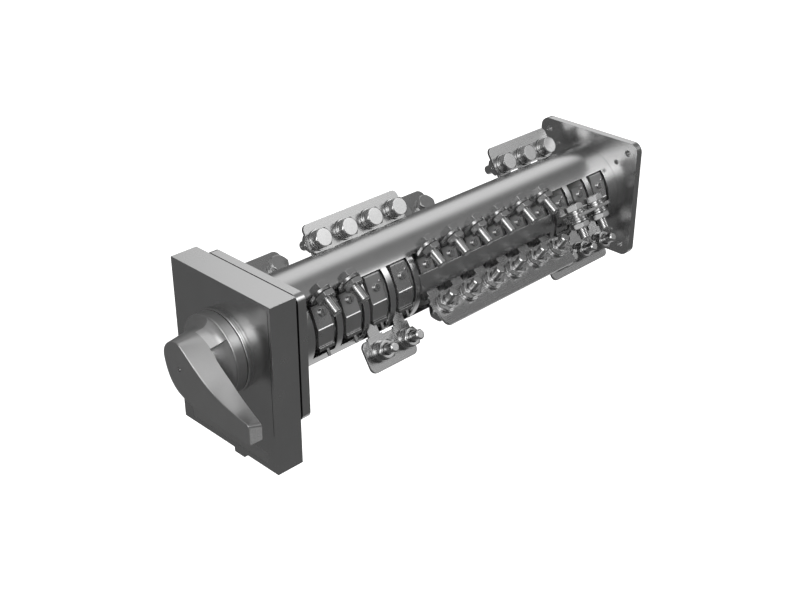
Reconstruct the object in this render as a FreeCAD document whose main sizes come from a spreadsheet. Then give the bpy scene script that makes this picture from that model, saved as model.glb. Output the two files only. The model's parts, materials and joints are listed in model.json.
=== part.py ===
import FreeCAD, Part
import Sketcher
import math
import os

# Rotary voltage selector switch: lever handle on a square escutcheon, a slotted
# steel tube with thirteen contact decks behind it, copper terminal tabs, bus bars
# and M10 terminal bolts on both sides, and a square mounting plate at the rear.
# Row frame: origin on the shaft axis at the panel side of the front flange,
# +Y along the shaft to the rear, +X right seen from the handle, +Z up. Millimetres.

Vec = FreeCAD.Vector
doc = FreeCAD.newDocument("VoltageSelectorSwitch")

SIZE_TABLE = (
    ("escutcheon_width", 130.0), ("escutcheon_top", 64.5), ("escutcheon_bottom", 95.5),
    ("escutcheon_front", 33.0), ("escutcheon_back", 5.8), ("escutcheon_wall", 3.5),
    ("escutcheon_face", 4.5), ("legend_half", 61.5), ("legend_top", 60.8), ("legend_bottom", 58.0),
    ("legend_thick", 1.2), ("strip_half", 52.0), ("strip_top", 79.0), ("strip_bottom", 90.0),
    ("strip_thick", 1.0), ("base_ring_radius", 38.0), ("base_ring_height", 3.3),
    ("spigot_radius", 29.5), ("spindle_radius", 12.0), ("running_gap", 0.06),
    ("collar_radius", 37.0), ("collar_back", 36.7), ("collar_front", 47.0),
    ("lever_front", 78.0), ("lever_drop", 15.0), ("lever_reach", 91.0),
    ("journal_radius", 7.0), ("square_side", 14.0), ("gasket_thick", 1.4),
    ("flange_width", 120.7), ("flange_thick", 8.7), ("flange_corner", 8.0),
    ("panel_bolt_half", 50.0), ("panel_hole_radius", 3.3), ("clamp_screw_half", 36.0),
    ("tube_radius", 44.0), ("tube_bore", 40.5), ("tube_end", 456.0),
    ("deck_pitch", 32.0), ("deck_first", 44.0), ("deck_count", 13.0),
    ("window_half", 12.6), ("window_height", 31.65), ("skirt_top", 19.6), ("guard_inner", 44.15), ("guard_outer", 45.25),
    ("guard_low", 2.4), ("guard_high", 15.6), ("guard_half", 93.4), ("tab_wide_from", 44.0),
    ("rear_width", 126.0), ("rear_thick", 8.6), ("rear_corner", 10.0),
    ("rear_outer_half", 51.5), ("rear_outer_radius", 3.4), ("rear_inner_half", 38.35), ("rear_inner_radius", 2.6),
    ("boss_radius", 40.3), ("front_boss", 14.0), ("rear_boss", 448.0),
    ("star_radius", 22.0), ("star_front", 20.6), ("star_back", 25.2), ("position_step", 30.0),
    ("disc_radius", 40.2), ("disc_thick", 4.0), ("disc_bore", 19.0),
    ("rod_radius", 2.5), ("rod_x", 9.0), ("rod_z", 33.0),
    ("drum_radius", 15.0), ("drum_length", 30.0), ("segment_radius", 18.2), ("segment_length", 14.0), ("segment_angle", 150.0),
    ("block_half", 8.7), ("block_base_half", 13.9), ("block_face", 43.0), ("block_top", 8.0), ("block_low", 9.0),
    ("tab_neck", 13.0), ("tab_thick", 3.0), ("tab_eye", 9.5), ("bus_thick", 3.0), ("bus_corner", 6.0),
    ("bolt_radius", 5.0), ("bolt_hole", 5.3), ("head_flats", 17.0), ("head_height", 6.4),
    ("bolt_long", 30.0), ("bolt_short", 24.1), ("nut_height", 5.8), ("washer_radius", 10.0),
    ("washer_thick", 2.0), ("spring_washer_radius", 9.0), ("spring_washer_thick", 2.2),
    ("row_angle", 57.0), ("row_a_reach", 55.0), ("row_b_reach", 58.0), ("row_c_reach", 59.0),
)
VALUE = dict(SIZE_TABLE)

sheet = doc.addObject("Spreadsheet::Sheet", "Sizes")
for number, (word, amount) in enumerate(SIZE_TABLE, start=1):
    sheet.set("A%d" % number, word)
    sheet.set("B%d" % number, "%g" % amount)
    sheet.setAlias("B%d" % number, word)
doc.recompute()


class Dim:
    """A length that knows both its number and the spreadsheet expression for it."""

    def __init__(self, number, text):
        self.v = float(number)
        self.t = text

    def __add__(self, other):
        other = dim(other)
        return Dim(self.v + other.v, "(%s + %s)" % (self.t, other.t))

    __radd__ = __add__

    def __sub__(self, other):
        other = dim(other)
        return Dim(self.v - other.v, "(%s - %s)" % (self.t, other.t))

    def __rsub__(self, other):
        other = dim(other)
        return Dim(other.v - self.v, "(%s - %s)" % (other.t, self.t))

    def __mul__(self, other):
        other = dim(other)
        return Dim(self.v * other.v, "(%s * %s)" % (self.t, other.t))

    __rmul__ = __mul__

    def __truediv__(self, other):
        other = dim(other)
        return Dim(self.v / other.v, "(%s / %s)" % (self.t, other.t))

    def __neg__(self):
        return Dim(-self.v, "(0 - %s)" % self.t)


def dim(x):
    return x if isinstance(x, Dim) else Dim(x, "%.6f" % x)


def S(word):
    return Dim(VALUE[word], "Sizes." + word)


def bind(thing, prop, length):
    thing.setExpression(prop, dim(length).t)


# ---------------------------------------------------------------- sketch helpers
def new_body(name):
    body = doc.addObject("PartDesign::Body", name)
    body.Label = name
    return body


def sketch(body, name, role, away=0.0):
    """Sketch on an origin plane of its body, moved along the plane's normal.
    On XZ_Plane the normal is -Y, so away = -Y position."""
    sk = body.newObject("Sketcher::SketchObject", name)
    plane = [f for f in body.Origin.OriginFeatures if f.Role == role][0]
    sk.AttachmentSupport = [(plane, "")]
    sk.MapMode = "FlatFace"
    away = dim(away)
    sk.AttachmentOffset = FreeCAD.Placement(Vec(0, 0, away.v), FreeCAD.Rotation())
    if abs(away.v) > 1e-9:
        sk.setExpression("AttachmentOffset.Base.z", away.t)
    return sk


def pin_point(sk, geo, pos, x, y):
    """Fix a sketch point at x, y from the sketch origin."""
    x, y = dim(x), dim(y)
    for axis, d, kind in ((-2, x, "DistanceX"), (-1, y, "DistanceY")):
        if abs(d.v) < 1e-9:
            sk.addConstraint(Sketcher.Constraint("PointOnObject", geo, pos, axis))
            continue
        if d.v > 0:
            c = sk.addConstraint(Sketcher.Constraint(kind, -1, 1, geo, pos, d.v))
            sk.setExpression("Constraints[%d]" % c, d.t)
        else:
            c = sk.addConstraint(Sketcher.Constraint(kind, geo, pos, -1, 1, -d.v))
            sk.setExpression("Constraints[%d]" % c, (-d).t)


def polygon(sk, points):
    pts = [(dim(x), dim(y)) for x, y in points]
    base = sk.GeometryCount
    n = len(pts)
    for i in range(n):
        a, b = pts[i], pts[(i + 1) % n]
        sk.addGeometry(Part.LineSegment(Vec(a[0].v, a[1].v, 0), Vec(b[0].v, b[1].v, 0)), False)
    for i in range(n):
        sk.addConstraint(Sketcher.Constraint("Coincident", base + i, 2, base + (i + 1) % n, 1))
    for i in range(n):
        pin_point(sk, base + i, 1, pts[i][0], pts[i][1])


def rectangle(sk, x0, x1, y0, y1):
    polygon(sk, [(x0, y0), (x1, y0), (x1, y1), (x0, y1)])


def circle(sk, x, y, r):
    x, y, r = dim(x), dim(y), dim(r)
    g = sk.addGeometry(Part.Circle(Vec(x.v, y.v, 0), Vec(0, 0, 1), r.v), False)
    c = sk.addConstraint(Sketcher.Constraint("Radius", g, r.v))
    sk.setExpression("Constraints[%d]" % c, r.t)
    if abs(x.v) < 1e-9 and abs(y.v) < 1e-9:
        sk.addConstraint(Sketcher.Constraint("Coincident", g, 3, -1, 1))
    else:
        pin_point(sk, g, 3, x, y)


def pad(body, sk, length, name, reverse=False, both=False):
    f = body.newObject("PartDesign::Pad", name)
    f.Profile = sk
    bind(f, "Length", length)
    f.Reversed = reverse
    if both:
        f.SideType = "Symmetric"
    return f


def pocket(body, sk, length, name, reverse=False, both=False, through=False):
    f = body.newObject("PartDesign::Pocket", name)
    f.Profile = sk
    if through:
        f.Type = "ThroughAll"
    else:
        bind(f, "Length", length)
    f.Reversed = reverse
    if both:
        f.SideType = "Symmetric"
    return f


def revolve(body, sk, name):
    f = body.newObject("PartDesign::Revolution", name)
    f.Profile = sk
    f.ReferenceAxis = (sk, ["V_Axis"])
    f.Angle = 360.0
    return f


def cutting(body, make, least):
    """Run one cutting step and make sure that it removed material."""
    doc.recompute()
    before = body.Shape.Volume
    f = make()
    doc.recompute()
    if before - body.Shape.Volume < least:
        raise SystemExit("the cut %s took nothing off %s" % (f.Name, body.Name))
    return f


def round_edges(body, feature, radius, wanted, name):
    """Fillet those edges of the feature that the test picks."""
    doc.recompute()
    names = []
    for i, e in enumerate(feature.Shape.Edges, start=1):
        if wanted(e):
            names.append("Edge%d" % i)
    if not names:
        raise SystemExit("no edge to round on " + body.Name)
    f = body.newObject("PartDesign::Fillet", name)
    f.Base = (feature, names)
    bind(f, "Radius", radius)
    doc.recompute()
    return f


def along_y(e):
    if e.Curve.TypeId != "Part::GeomLine":
        return False
    a, b = e.Vertexes[0].Point, e.Vertexes[-1].Point
    return abs(a.x - b.x) < 1e-6 and abs(a.z - b.z) < 1e-6


OUTPUT = []


def keep(thing, name):
    thing.Label = name
    OUTPUT.append((name, thing))
    return thing


def group(name, base, placements):
    """One node made of placed copies of one piece."""
    link = doc.addObject("App::Link", name)
    link.LinkedObject = base
    link.ElementCount = len(placements)
    link.ShowElement = False
    link.PlacementList = placements
    return keep(link, name)


# Directions of the terminal rows in the XZ plane. Each row has a tab direction
# (outwards from the shaft) and a bolt direction (from the head to the tip).
SA = math.sin(math.radians(VALUE["row_angle"]))
CA = math.cos(math.radians(VALUE["row_angle"]))
ROW = {
    "near_upper": (Vec(CA, 0, SA), Vec(SA, 0, -CA), VALUE["row_a_reach"]),
    "far_upper": (Vec(-CA, 0, SA), Vec(-SA, 0, -CA), VALUE["row_a_reach"]),
    "near_lower": (Vec(CA, 0, -SA), Vec(SA, 0, CA), VALUE["row_c_reach"]),
    "long_bus": (Vec(SA, 0, -CA), Vec(CA, 0, SA), VALUE["row_b_reach"]),
    "rear_link": (Vec(SA, 0, CA), Vec(CA, 0, -SA), VALUE["row_b_reach"]),
    "far_link": (Vec(-SA, 0, CA), Vec(-CA, 0, -SA), VALUE["row_b_reach"]),
}
DECKS = {
    "near_upper": (0, 1, 4, 5, 6, 7, 8, 9),
    "far_upper": (2, 3, 4, 5, 10, 11, 12),
    "near_lower": (2, 3, 10, 11, 12),
    "long_bus": (4, 5, 6, 7, 8, 9),
    "rear_link": (10, 11),
    "far_link": (0, 1, 6, 7),
}
# Levels along each bolt, measured from the plane through the shaft axis:
# under the head, tab, bar, washer, spring washer, nut.
LEVEL = {
    "near_upper": dict(head=10.4, tab=10.4, washers=(), springs=(), nut=13.5),
    "far_upper": dict(head=4.4, springs=(4.4,), washers=(6.7, 15.1), bar=9.0, tab=12.0, nut=17.2),
    "near_lower": dict(head=6.2, washers=(6.3, 14.4), springs=(16.4,), bar=8.3, tab=11.3, nut=18.7),
    "long_bus": dict(head=14.4, springs=(14.4,), washers=(16.6, 24.7), tab=18.6, bar=21.6, nut=26.8),
    "rear_link": dict(head=15.8, springs=(15.8,), washers=(18.0, 26.1), bar=20.0, tab=23.0, nut=28.2),
    "far_link": dict(head=15.8, springs=(15.8,), washers=(18.0, 26.1), bar=20.0, tab=23.0, nut=28.2),
}


def deck_y(i):
    return VALUE["deck_first"] + VALUE["deck_pitch"] * i


def row_place(row, i, out, level):
    """Local x runs outwards, local z along the bolt, from the shaft axis at deck i."""
    er, es, _ = ROW[row]
    ey = es.cross(er)
    m = FreeCAD.Matrix(er.x, ey.x, es.x, 0, er.y, ey.y, es.y, 0, er.z, ey.z, es.z, 0, 0, 0, 0, 1)
    base = er * out + es * level + Vec(0, deck_y(i), 0)
    return FreeCAD.Placement(base, FreeCAD.Placement(m).Rotation)


# ---------------------------------------------------------------- escutcheon
b = new_body("front_escutcheon")
sk = sketch(b, "escutcheon_outline", "XZ_Plane", S("escutcheon_front"))
rectangle(sk, -S("escutcheon_width") / 2, S("escutcheon_width") / 2, -S("escutcheon_bottom"), S("escutcheon_top"))
pad(b, sk, S("escutcheon_front") - S("escutcheon_back"), "escutcheon_block", reverse=True)
sk = sketch(b, "escutcheon_cavity_outline", "XZ_Plane", S("escutcheon_back"))
rectangle(sk, S("escutcheon_wall") - S("escutcheon_width") / 2, S("escutcheon_width") / 2 - S("escutcheon_wall"),
          S("escutcheon_wall") - S("escutcheon_bottom"), S("escutcheon_top") - S("escutcheon_wall"))
cutting(b, lambda: pocket(b, sk, S("escutcheon_front") - S("escutcheon_back") - S("escutcheon_face"),
                          "escutcheon_cavity", reverse=True), 1000)
sk = sketch(b, "screw_boss_outline", "XZ_Plane", S("escutcheon_front") - S("escutcheon_face"))
for sx in (-1, 1):
    for sz in (-1, 1):
        circle(sk, sx * S("clamp_screw_half"), sz * S("clamp_screw_half"), 6.0)
pad(b, sk, S("escutcheon_front") - S("escutcheon_face") - S("escutcheon_back"), "screw_bosses", reverse=True)
sk2 = sketch(b, "legend_recess_outline", "XZ_Plane", S("escutcheon_front"))
rectangle(sk2, -(S("legend_half") + 0.05), S("legend_half") + 0.7, -(S("legend_bottom") + 0.05), S("legend_top") + 0.05)
cutting(b, lambda: pocket(b, sk2, S("legend_thick"), "legend_recess"), 100)
sk3 = sketch(b, "strip_recess_outline", "XZ_Plane", S("escutcheon_front"))
rectangle(sk3, -(S("strip_half") + 0.05), S("strip_half") + 0.05, -(S("strip_bottom") + 0.05), 0.05 - S("strip_top"))
cutting(b, lambda: pocket(b, sk3, S("strip_thick") + 0.1, "strip_recess"), 100)
sk4 = sketch(b, "spigot_hole_outline", "XZ_Plane", S("escutcheon_front"))
circle(sk4, 0, 0, S("spigot_radius") + 0.1)
cutting(b, lambda: pocket(b, sk4, 6.0, "spigot_hole"), 100)
sk5 = sketch(b, "boss_pilot_outline", "XZ_Plane", S("escutcheon_back"))
for sx in (-1, 1):
    for sz in (-1, 1):
        circle(sk5, sx * S("clamp_screw_half"), sz * S("clamp_screw_half"), 2.56)
cutting(b, lambda: pocket(b, sk5, 15.0, "boss_pilots", reverse=True), 100)
keep(b, "front_escutcheon")

b = new_body("legend_plate")
sk = sketch(b, "legend_outline", "XZ_Plane", S("escutcheon_front"))
rectangle(sk, -S("legend_half"), S("legend_half"), -S("legend_bottom"), S("legend_top"))
circle(sk, 0, 0, S("spigot_radius") + 0.1)
pad(b, sk, S("legend_thick"), "legend_sheet", reverse=True)
keep(b, "legend_plate")

b = new_body("label_strip")
sk = sketch(b, "strip_outline", "XZ_Plane", S("escutcheon_front") - 0.1)
rectangle(sk, -S("strip_half"), S("strip_half"), -S("strip_bottom"), -S("strip_top"))
pad(b, sk, S("strip_thick"), "strip_sheet", reverse=True)
keep(b, "label_strip")

b = new_body("bottom_pull_tab")
sk = sketch(b, "tab_profile", "YZ_Plane", 5.0)
polygon(sk, [(-S("escutcheon_front") + 0.4, -S("escutcheon_bottom")), (-S("escutcheon_front") + 0.4, -S("escutcheon_bottom") - 4.8),
             (-S("escutcheon_front") + 2.0, -S("escutcheon_bottom") - 6.5), (-S("escutcheon_front") + 6.4, -S("escutcheon_bottom") - 6.5),
             (-S("escutcheon_front") + 6.4, -S("escutcheon_bottom") - 3.0), (-S("escutcheon_back") - 4.0, -S("escutcheon_bottom") - 3.0),
             (-S("escutcheon_back") - 4.0, -S("escutcheon_bottom"))])
pad(b, sk, 12.0, "tab_slab")
keep(b, "bottom_pull_tab")

b = new_body("knob_base_ring")
sk = sketch(b, "ring_profile", "XY_Plane")
polygon(sk, [(S("spindle_radius") + S("running_gap"), -S("escutcheon_front") - S("base_ring_height")),
             (S("base_ring_radius") - 0.8, -S("escutcheon_front") - S("base_ring_height")),
             (S("base_ring_radius"), -S("escutcheon_front") - S("base_ring_height") + 0.8),
             (S("base_ring_radius"), -S("escutcheon_front")),
             (S("spigot_radius"), -S("escutcheon_front")), (S("spigot_radius"), -S("escutcheon_front") + 7.0),
             (S("spindle_radius") + S("running_gap"), -S("escutcheon_front") + 7.0)])
revolve(b, sk, "ring_turned")
keep(b, "knob_base_ring")

for name, front, left, low, high in (
        ("escutcheon_gasket", S("escutcheon_back"), 62.5, 93.0, 62.0),
        ("flange_gasket", S("gasket_thick"), 58.0, 58.0, 58.0)):
    b = new_body(name)
    sk = sketch(b, name + "_outline", "XZ_Plane", front)
    rectangle(sk, -dim(left), left, -dim(low), high)
    circle(sk, 0, 0, 30.0)
    for sx in (-1, 1):
        for sz in (-1, 1):
            circle(sk, sx * S("clamp_screw_half"), sz * S("clamp_screw_half"), 3.2)
            circle(sk, sx * S("panel_bolt_half"), sz * S("panel_bolt_half"), 5.5)
    pad(b, sk, S("gasket_thick"), name + "_sheet", reverse=True)
    keep(b, name)

# ---------------------------------------------------------------- front flange
b = new_body("front_flange")
sk = sketch(b, "flange_outline", "XZ_Plane")
rectangle(sk, -S("flange_width") / 2, S("flange_width") / 2, -S("flange_width") / 2, S("flange_width") / 2)
slab = pad(b, sk, S("flange_thick"), "flange_slab", reverse=True)
round_edges(b, slab, S("flange_corner"), along_y, "flange_corners")
sk = sketch(b, "flange_boss_outline", "XZ_Plane", -S("flange_thick"))
circle(sk, 0, 0, S("boss_radius"))
pad(b, sk, S("front_boss") - S("flange_thick"), "flange_boss", reverse=True)
sk1 = sketch(b, "flange_hole_outline", "XZ_Plane")
circle(sk1, 0, 0, 11.0)
for sx in (-1, 1):
    for sz in (-1, 1):
        circle(sk1, sx * S("clamp_screw_half"), sz * S("clamp_screw_half"), 2.7)
        circle(sk1, sx * S("panel_bolt_half"), sz * S("panel_bolt_half"), S("panel_hole_radius"))
cutting(b, lambda: pocket(b, sk1, S("front_boss") + 1, "flange_holes"), 100)
sk2 = sketch(b, "flange_rod_outline", "XZ_Plane", -S("front_boss"))
for sx in (-1, 1):
    for sz in (-1, 1):
        circle(sk2, sx * S("rod_x"), sz * S("rod_z"), S("rod_radius") + 0.1)
cutting(b, lambda: pocket(b, sk2, 4.0, "flange_rod_holes", reverse=True), 50)
keep(b, "front_flange")

# Cap screws that clamp the escutcheon through the panel.
b = new_body("panel_screw_piece")
sk = sketch(b, "panel_screw_profile", "YZ_Plane")
polygon(sk, [(0, -5.0), (3.9, -5.0), (4.25, -4.6), (4.25, 0), (2.5, 0), (2.5, 26.0), (1.9, 26.7), (0, 26.7)])
f = revolve(b, sk, "panel_screw_turned")
skh = sketch(b, "panel_screw_socket", "XY_Plane", -5.0)
polygon(skh, [(2.31 * math.cos(math.radians(60 * k)), 2.31 * math.sin(math.radians(60 * k))) for k in range(6)])
cutting(b, lambda: pocket(b, skh, 2.8, "panel_screw_hex", reverse=True), 5)
doc.recompute()
panel_screw = b
turn = FreeCAD.Rotation(Vec(1, 0, 0), 90)
group("panel_screws", panel_screw, [
    FreeCAD.Placement(Vec(sx * VALUE["clamp_screw_half"], VALUE["flange_thick"], sz * VALUE["clamp_screw_half"]), turn)
    for sx in (-1, 1) for sz in (-1, 1)])

# ---------------------------------------------------------------- slotted tube
# One tube with a window on each side of every deck, made as two end collars, an
# upper and a lower shell, and the short ribs that stay between the windows.
FIRST_WINDOW = S("deck_first") - S("window_half")
LAST_WINDOW = S("deck_first") + S("deck_pitch") * (S("deck_count") - 1) + S("window_half")
REACH = S("tube_radius") + 4.0
for name, start, end in (("tube_front_collar", S("flange_thick"), FIRST_WINDOW), ("tube_rear_collar", LAST_WINDOW, S("tube_end"))):
    b = new_body(name)
    sk = sketch(b, name + "_ring", "XZ_Plane", -start)
    circle(sk, 0, 0, S("tube_radius"))
    circle(sk, 0, 0, S("tube_bore"))
    pad(b, sk, end - start, name + "_wall", reverse=True)
    keep(b, name)

for name, low, high in (("tube_upper_shell", -REACH, S("window_height")), ("tube_lower_shell", -S("window_height"), REACH)):
    b = new_body(name)
    sk = sketch(b, name + "_ring", "XZ_Plane", -FIRST_WINDOW)
    circle(sk, 0, 0, S("tube_radius"))
    circle(sk, 0, 0, S("tube_bore"))
    pad(b, sk, LAST_WINDOW - FIRST_WINDOW, name + "_wall", reverse=True)
    skw = sketch(b, name + "_window_side", "XZ_Plane", -FIRST_WINDOW)
    rectangle(skw, -REACH, REACH, low, high)
    cutting(b, lambda: pocket(b, skw, LAST_WINDOW - FIRST_WINDOW, name + "_cut"), 10000)
    keep(b, name)

b = new_body("tube_rib_piece")
rib_half = (S("deck_pitch") - 2 * S("window_half")) / 2
sk = sketch(b, "rib_ring", "XZ_Plane")
circle(sk, 0, 0, S("tube_radius"))
circle(sk, 0, 0, S("tube_bore"))
pad(b, sk, 2 * rib_half, "rib_wall", both=True)
skw = sketch(b, "rib_sides", "XZ_Plane")
polygon(skw, [(-REACH, -REACH), (REACH, -REACH), (REACH, -S("window_height")), (0, -S("window_height")),
              (0, S("window_height")), (REACH, S("window_height")), (REACH, REACH), (-REACH, REACH)])
cutting(b, lambda: pocket(b, skw, 2 * rib_half, "rib_cut", both=True), 1000)
doc.recompute()
rib_rows = [VALUE["deck_first"] + VALUE["deck_pitch"] * (i + 0.5) for i in range(int(VALUE["deck_count"]) - 1)]
group("tube_side_ribs", b, [FreeCAD.Placement(Vec(0, y, 0), FreeCAD.Rotation(Vec(0, 0, 1), turned))
                            for turned in (0, 180) for y in rib_rows])

# On the near side the first two windows are shallower: their lower part is wall.
b = new_body("window_skirt_piece")
sk = sketch(b, "skirt_ring", "XZ_Plane")
circle(sk, 0, 0, S("tube_radius"))
circle(sk, 0, 0, S("tube_bore"))
pad(b, sk, 2 * S("window_half"), "skirt_wall", both=True)
skw = sketch(b, "skirt_sides", "XZ_Plane")
polygon(skw, [(-REACH, -REACH), (REACH, -REACH), (REACH, -S("window_height")), (0, -S("window_height")),
              (0, -S("skirt_top")), (REACH, -S("skirt_top")), (REACH, REACH), (-REACH, REACH)])
cutting(b, lambda: pocket(b, skw, 2 * S("window_half"), "skirt_cut", both=True), 1000)
doc.recompute()
group("tube_window_skirts", b, [FreeCAD.Placement(Vec(0, VALUE["deck_first"] + VALUE["deck_pitch"] * i, 0), FreeCAD.Rotation())
                                for i in (0, 1)])

# Over the middle decks the near windows are closed by one smooth curved cover,
# between the row of upper tabs and the row of lower tabs.
b = new_body("near_window_cover")
sk = sketch(b, "cover_ring", "XZ_Plane")
circle(sk, 0, 0, S("guard_outer"))
circle(sk, 0, 0, S("guard_inner"))
pad(b, sk, 2 * S("guard_half"), "cover_wall", both=True)
skw = sketch(b, "cover_sides", "XZ_Plane")
polygon(skw, [(-REACH, -REACH), (REACH, -REACH), (REACH, -S("guard_low")), (0, -S("guard_low")),
              (0, S("guard_high")), (REACH, S("guard_high")), (REACH, REACH), (-REACH, REACH)])
cutting(b, lambda: pocket(b, skw, 2 * S("guard_half"), "cover_cut", both=True), 1000)
b.Placement = FreeCAD.Placement(Vec(0, VALUE["deck_first"] + VALUE["deck_pitch"] * 6.5, 0), FreeCAD.Rotation())
keep(b, "near_window_cover")

# ---------------------------------------------------------------- rear plate
b = new_body("rear_plate")
sk = sketch(b, "rear_outline", "XZ_Plane", -S("tube_end"))
rectangle(sk, -S("rear_width") / 2, S("rear_width") / 2, -S("rear_width") / 2, S("rear_width") / 2)
slab = pad(b, sk, S("rear_thick"), "rear_slab", reverse=True)
round_edges(b, slab, S("rear_corner"), along_y, "rear_corners")
sk = sketch(b, "rear_boss_outline", "XZ_Plane", -S("rear_boss"))
circle(sk, 0, 0, S("boss_radius"))
pad(b, sk, S("tube_end") - S("rear_boss"), "rear_boss_pad", reverse=True)
sk1 = sketch(b, "rear_hole_outline", "XZ_Plane", -S("tube_end"))
for sx in (-1, 1):
    for sz in (-1, 1):
        circle(sk1, sx * S("rear_outer_half"), sz * S("rear_outer_half"), S("rear_outer_radius"))
        circle(sk1, sx * S("rear_inner_half"), sz * S("rear_inner_half"), S("rear_inner_radius"))
cutting(b, lambda: pocket(b, sk1, S("rear_thick") + 1, "rear_holes"), 100)
sk2 = sketch(b, "rear_socket_outline", "XZ_Plane", -S("rear_boss"))
circle(sk2, 0, 0, 10.0)
cutting(b, lambda: pocket(b, sk2, 14.0, "rear_socket"), 100)
sk3 = sketch(b, "rear_rod_outline", "XZ_Plane", -S("rear_boss"))
for sx in (-1, 1):
    for sz in (-1, 1):
        circle(sk3, sx * S("rod_x"), sz * S("rod_z"), S("rod_radius") + 0.1)
cutting(b, lambda: pocket(b, sk3, 4.0, "rear_rod_holes"), 50)
keep(b, "rear_plate")

# ---------------------------------------------------------------- bearings and shaft
b = new_body("front_bearing")
sk = sketch(b, "front_bush_profile", "XY_Plane")
polygon(sk, [(S("journal_radius") + S("running_gap"), 0), (10.97, 0), (10.97, S("front_boss")), (14.0, S("front_boss")),
             (14.0, S("front_boss") + 2.0), (S("journal_radius") + S("running_gap"), S("front_boss") + 2.0)])
revolve(b, sk, "front_bush_turned")
keep(b, "front_bearing")

b = new_body("rear_bearing")
sk = sketch(b, "rear_bush_profile", "XY_Plane")
polygon(sk, [(S("journal_radius") + S("running_gap"), S("rear_boss")), (9.97, S("rear_boss")),
             (9.97, S("rear_boss") + 13.9), (S("journal_radius") + S("running_gap"), S("rear_boss") + 13.9)])
revolve(b, sk, "rear_bush_turned")
keep(b, "rear_bearing")

b = new_body("drive_shaft")
sk = sketch(b, "square_outline", "XZ_Plane", -(S("front_boss") + 2.4))
rectangle(sk, -S("square_side") / 2, S("square_side") / 2, -S("square_side") / 2, S("square_side") / 2)
pad(b, sk, S("rear_boss") - S("front_boss") - 3.4, "square_bar", reverse=True)
sk = sketch(b, "front_journal_outline", "XZ_Plane", 60.0)
circle(sk, 0, 0, S("journal_radius"))
pad(b, sk, S("front_boss") + 63.0, "front_journal", reverse=True)
sk = sketch(b, "rear_journal_outline", "XZ_Plane", -(S("rear_boss") - 2.0))
circle(sk, 0, 0, S("journal_radius"))
pad(b, sk, 15.0, "rear_journal", reverse=True)
skt = sketch(b, "tapped_hole_outline", "XZ_Plane", 60.0)
circle(skt, 0, 0, 2.05)
cutting(b, lambda: pocket(b, skt, 14.0, "tapped_hole"), 100)
keep(b, "drive_shaft")

# ---------------------------------------------------------------- handle
# Built with the lever along +X, then turned down by lever_drop about the shaft.
# The lever and its hub are one drafted moulding between a front and a back
# outline, hollowed behind the lever, on a collar with a flared round neck.
FRONT_OUTLINE = [(88.4, 10.3), (79.0, 8.9), (68.0, 7.7), (57.0, 7.1), (46.0, 7.5), (35.0, 9.0), (23.5, 12.2), (12.0, 16.4),
                 (2.0, 20.6), (-6.0, 22.9), (-14.2, 19.8), (-20.5, 12.7), (-22.4, 4.4), (-19.6, -4.2), (-14.6, -12.4),
                 (-7.2, -19.8), (1.0, -23.8), (10.0, -25.0), (28.5, -23.6), (61.3, -16.6), (93.4, -8.0)]
BACK_OUTLINE = [(91.4, -0.8), (80.5, 4.6), (68.5, 10.2), (57.0, 15.8), (46.0, 21.0), (35.0, 24.0), (25.0, 26.4), (17.0, 28.6),
                (8.0, 30.2), (-3.0, 29.6), (-14.0, 25.6), (-22.6, 16.8), (-27.4, 4.4), (-25.6, -8.0), (-20.0, -18.0),
                (-12.0, -25.0), (-1.0, -28.6), (10.0, -29.4), (28.5, -26.4), (61.3, -18.4), (93.5, -9.6)]


def moulded_outline(sk_, points):
    """A smooth closed outline with a straight tip between its last and first points."""
    curve = Part.BSplineCurve()
    curve.interpolate([Vec(x, z, 0) for x, z in points])
    sk_.addGeometry(curve, False)
    sk_.addGeometry(Part.LineSegment(Vec(points[-1][0], points[-1][1], 0), Vec(points[0][0], points[0][1], 0)), False)
    sk_.addConstraint(Sketcher.Constraint("Block", 0))
    sk_.addConstraint(Sketcher.Constraint("Coincident", 0, 2, 1, 1))
    sk_.addConstraint(Sketcher.Constraint("Coincident", 0, 1, 1, 2))


b = new_body("selector_handle")
sk_front = sketch(b, "lever_front_outline", "XZ_Plane", S("lever_front"))
moulded_outline(sk_front, FRONT_OUTLINE)
sk_back = sketch(b, "lever_back_outline", "XZ_Plane", S("collar_front"))
moulded_outline(sk_back, BACK_OUTLINE)
moulding = b.newObject("PartDesign::AdditiveLoft", "lever_moulding")
moulding.Profile = sk_front
moulding.Sections = [sk_back]
moulding.Ruled = True
doc.recompute()
skw = sketch(b, "hollow_sector", "XZ_Plane", S("collar_front"))
polygon(skw, [(0, 0), (27.7, 51.0), (104.0, 51.0), (104.0, -51.0), (27.7, -51.0)])
cutting(b, lambda: pocket(b, skw, 12.8, "hollow_cut", reverse=True), 1000)
skc = sketch(b, "underside_profile", "XY_Plane")
polygon(skc, [(19.0, -S("collar_front") - 12.6), (24.0, -S("collar_front") - 13.6), (S("lever_reach") + 7, -S("collar_front") - 18.6),
              (S("lever_reach") + 7, -S("collar_front")), (19.0, -S("collar_front"))])
cutting(b, lambda: pocket(b, skc, 80.0, "underside_cut", both=True), 500)
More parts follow.
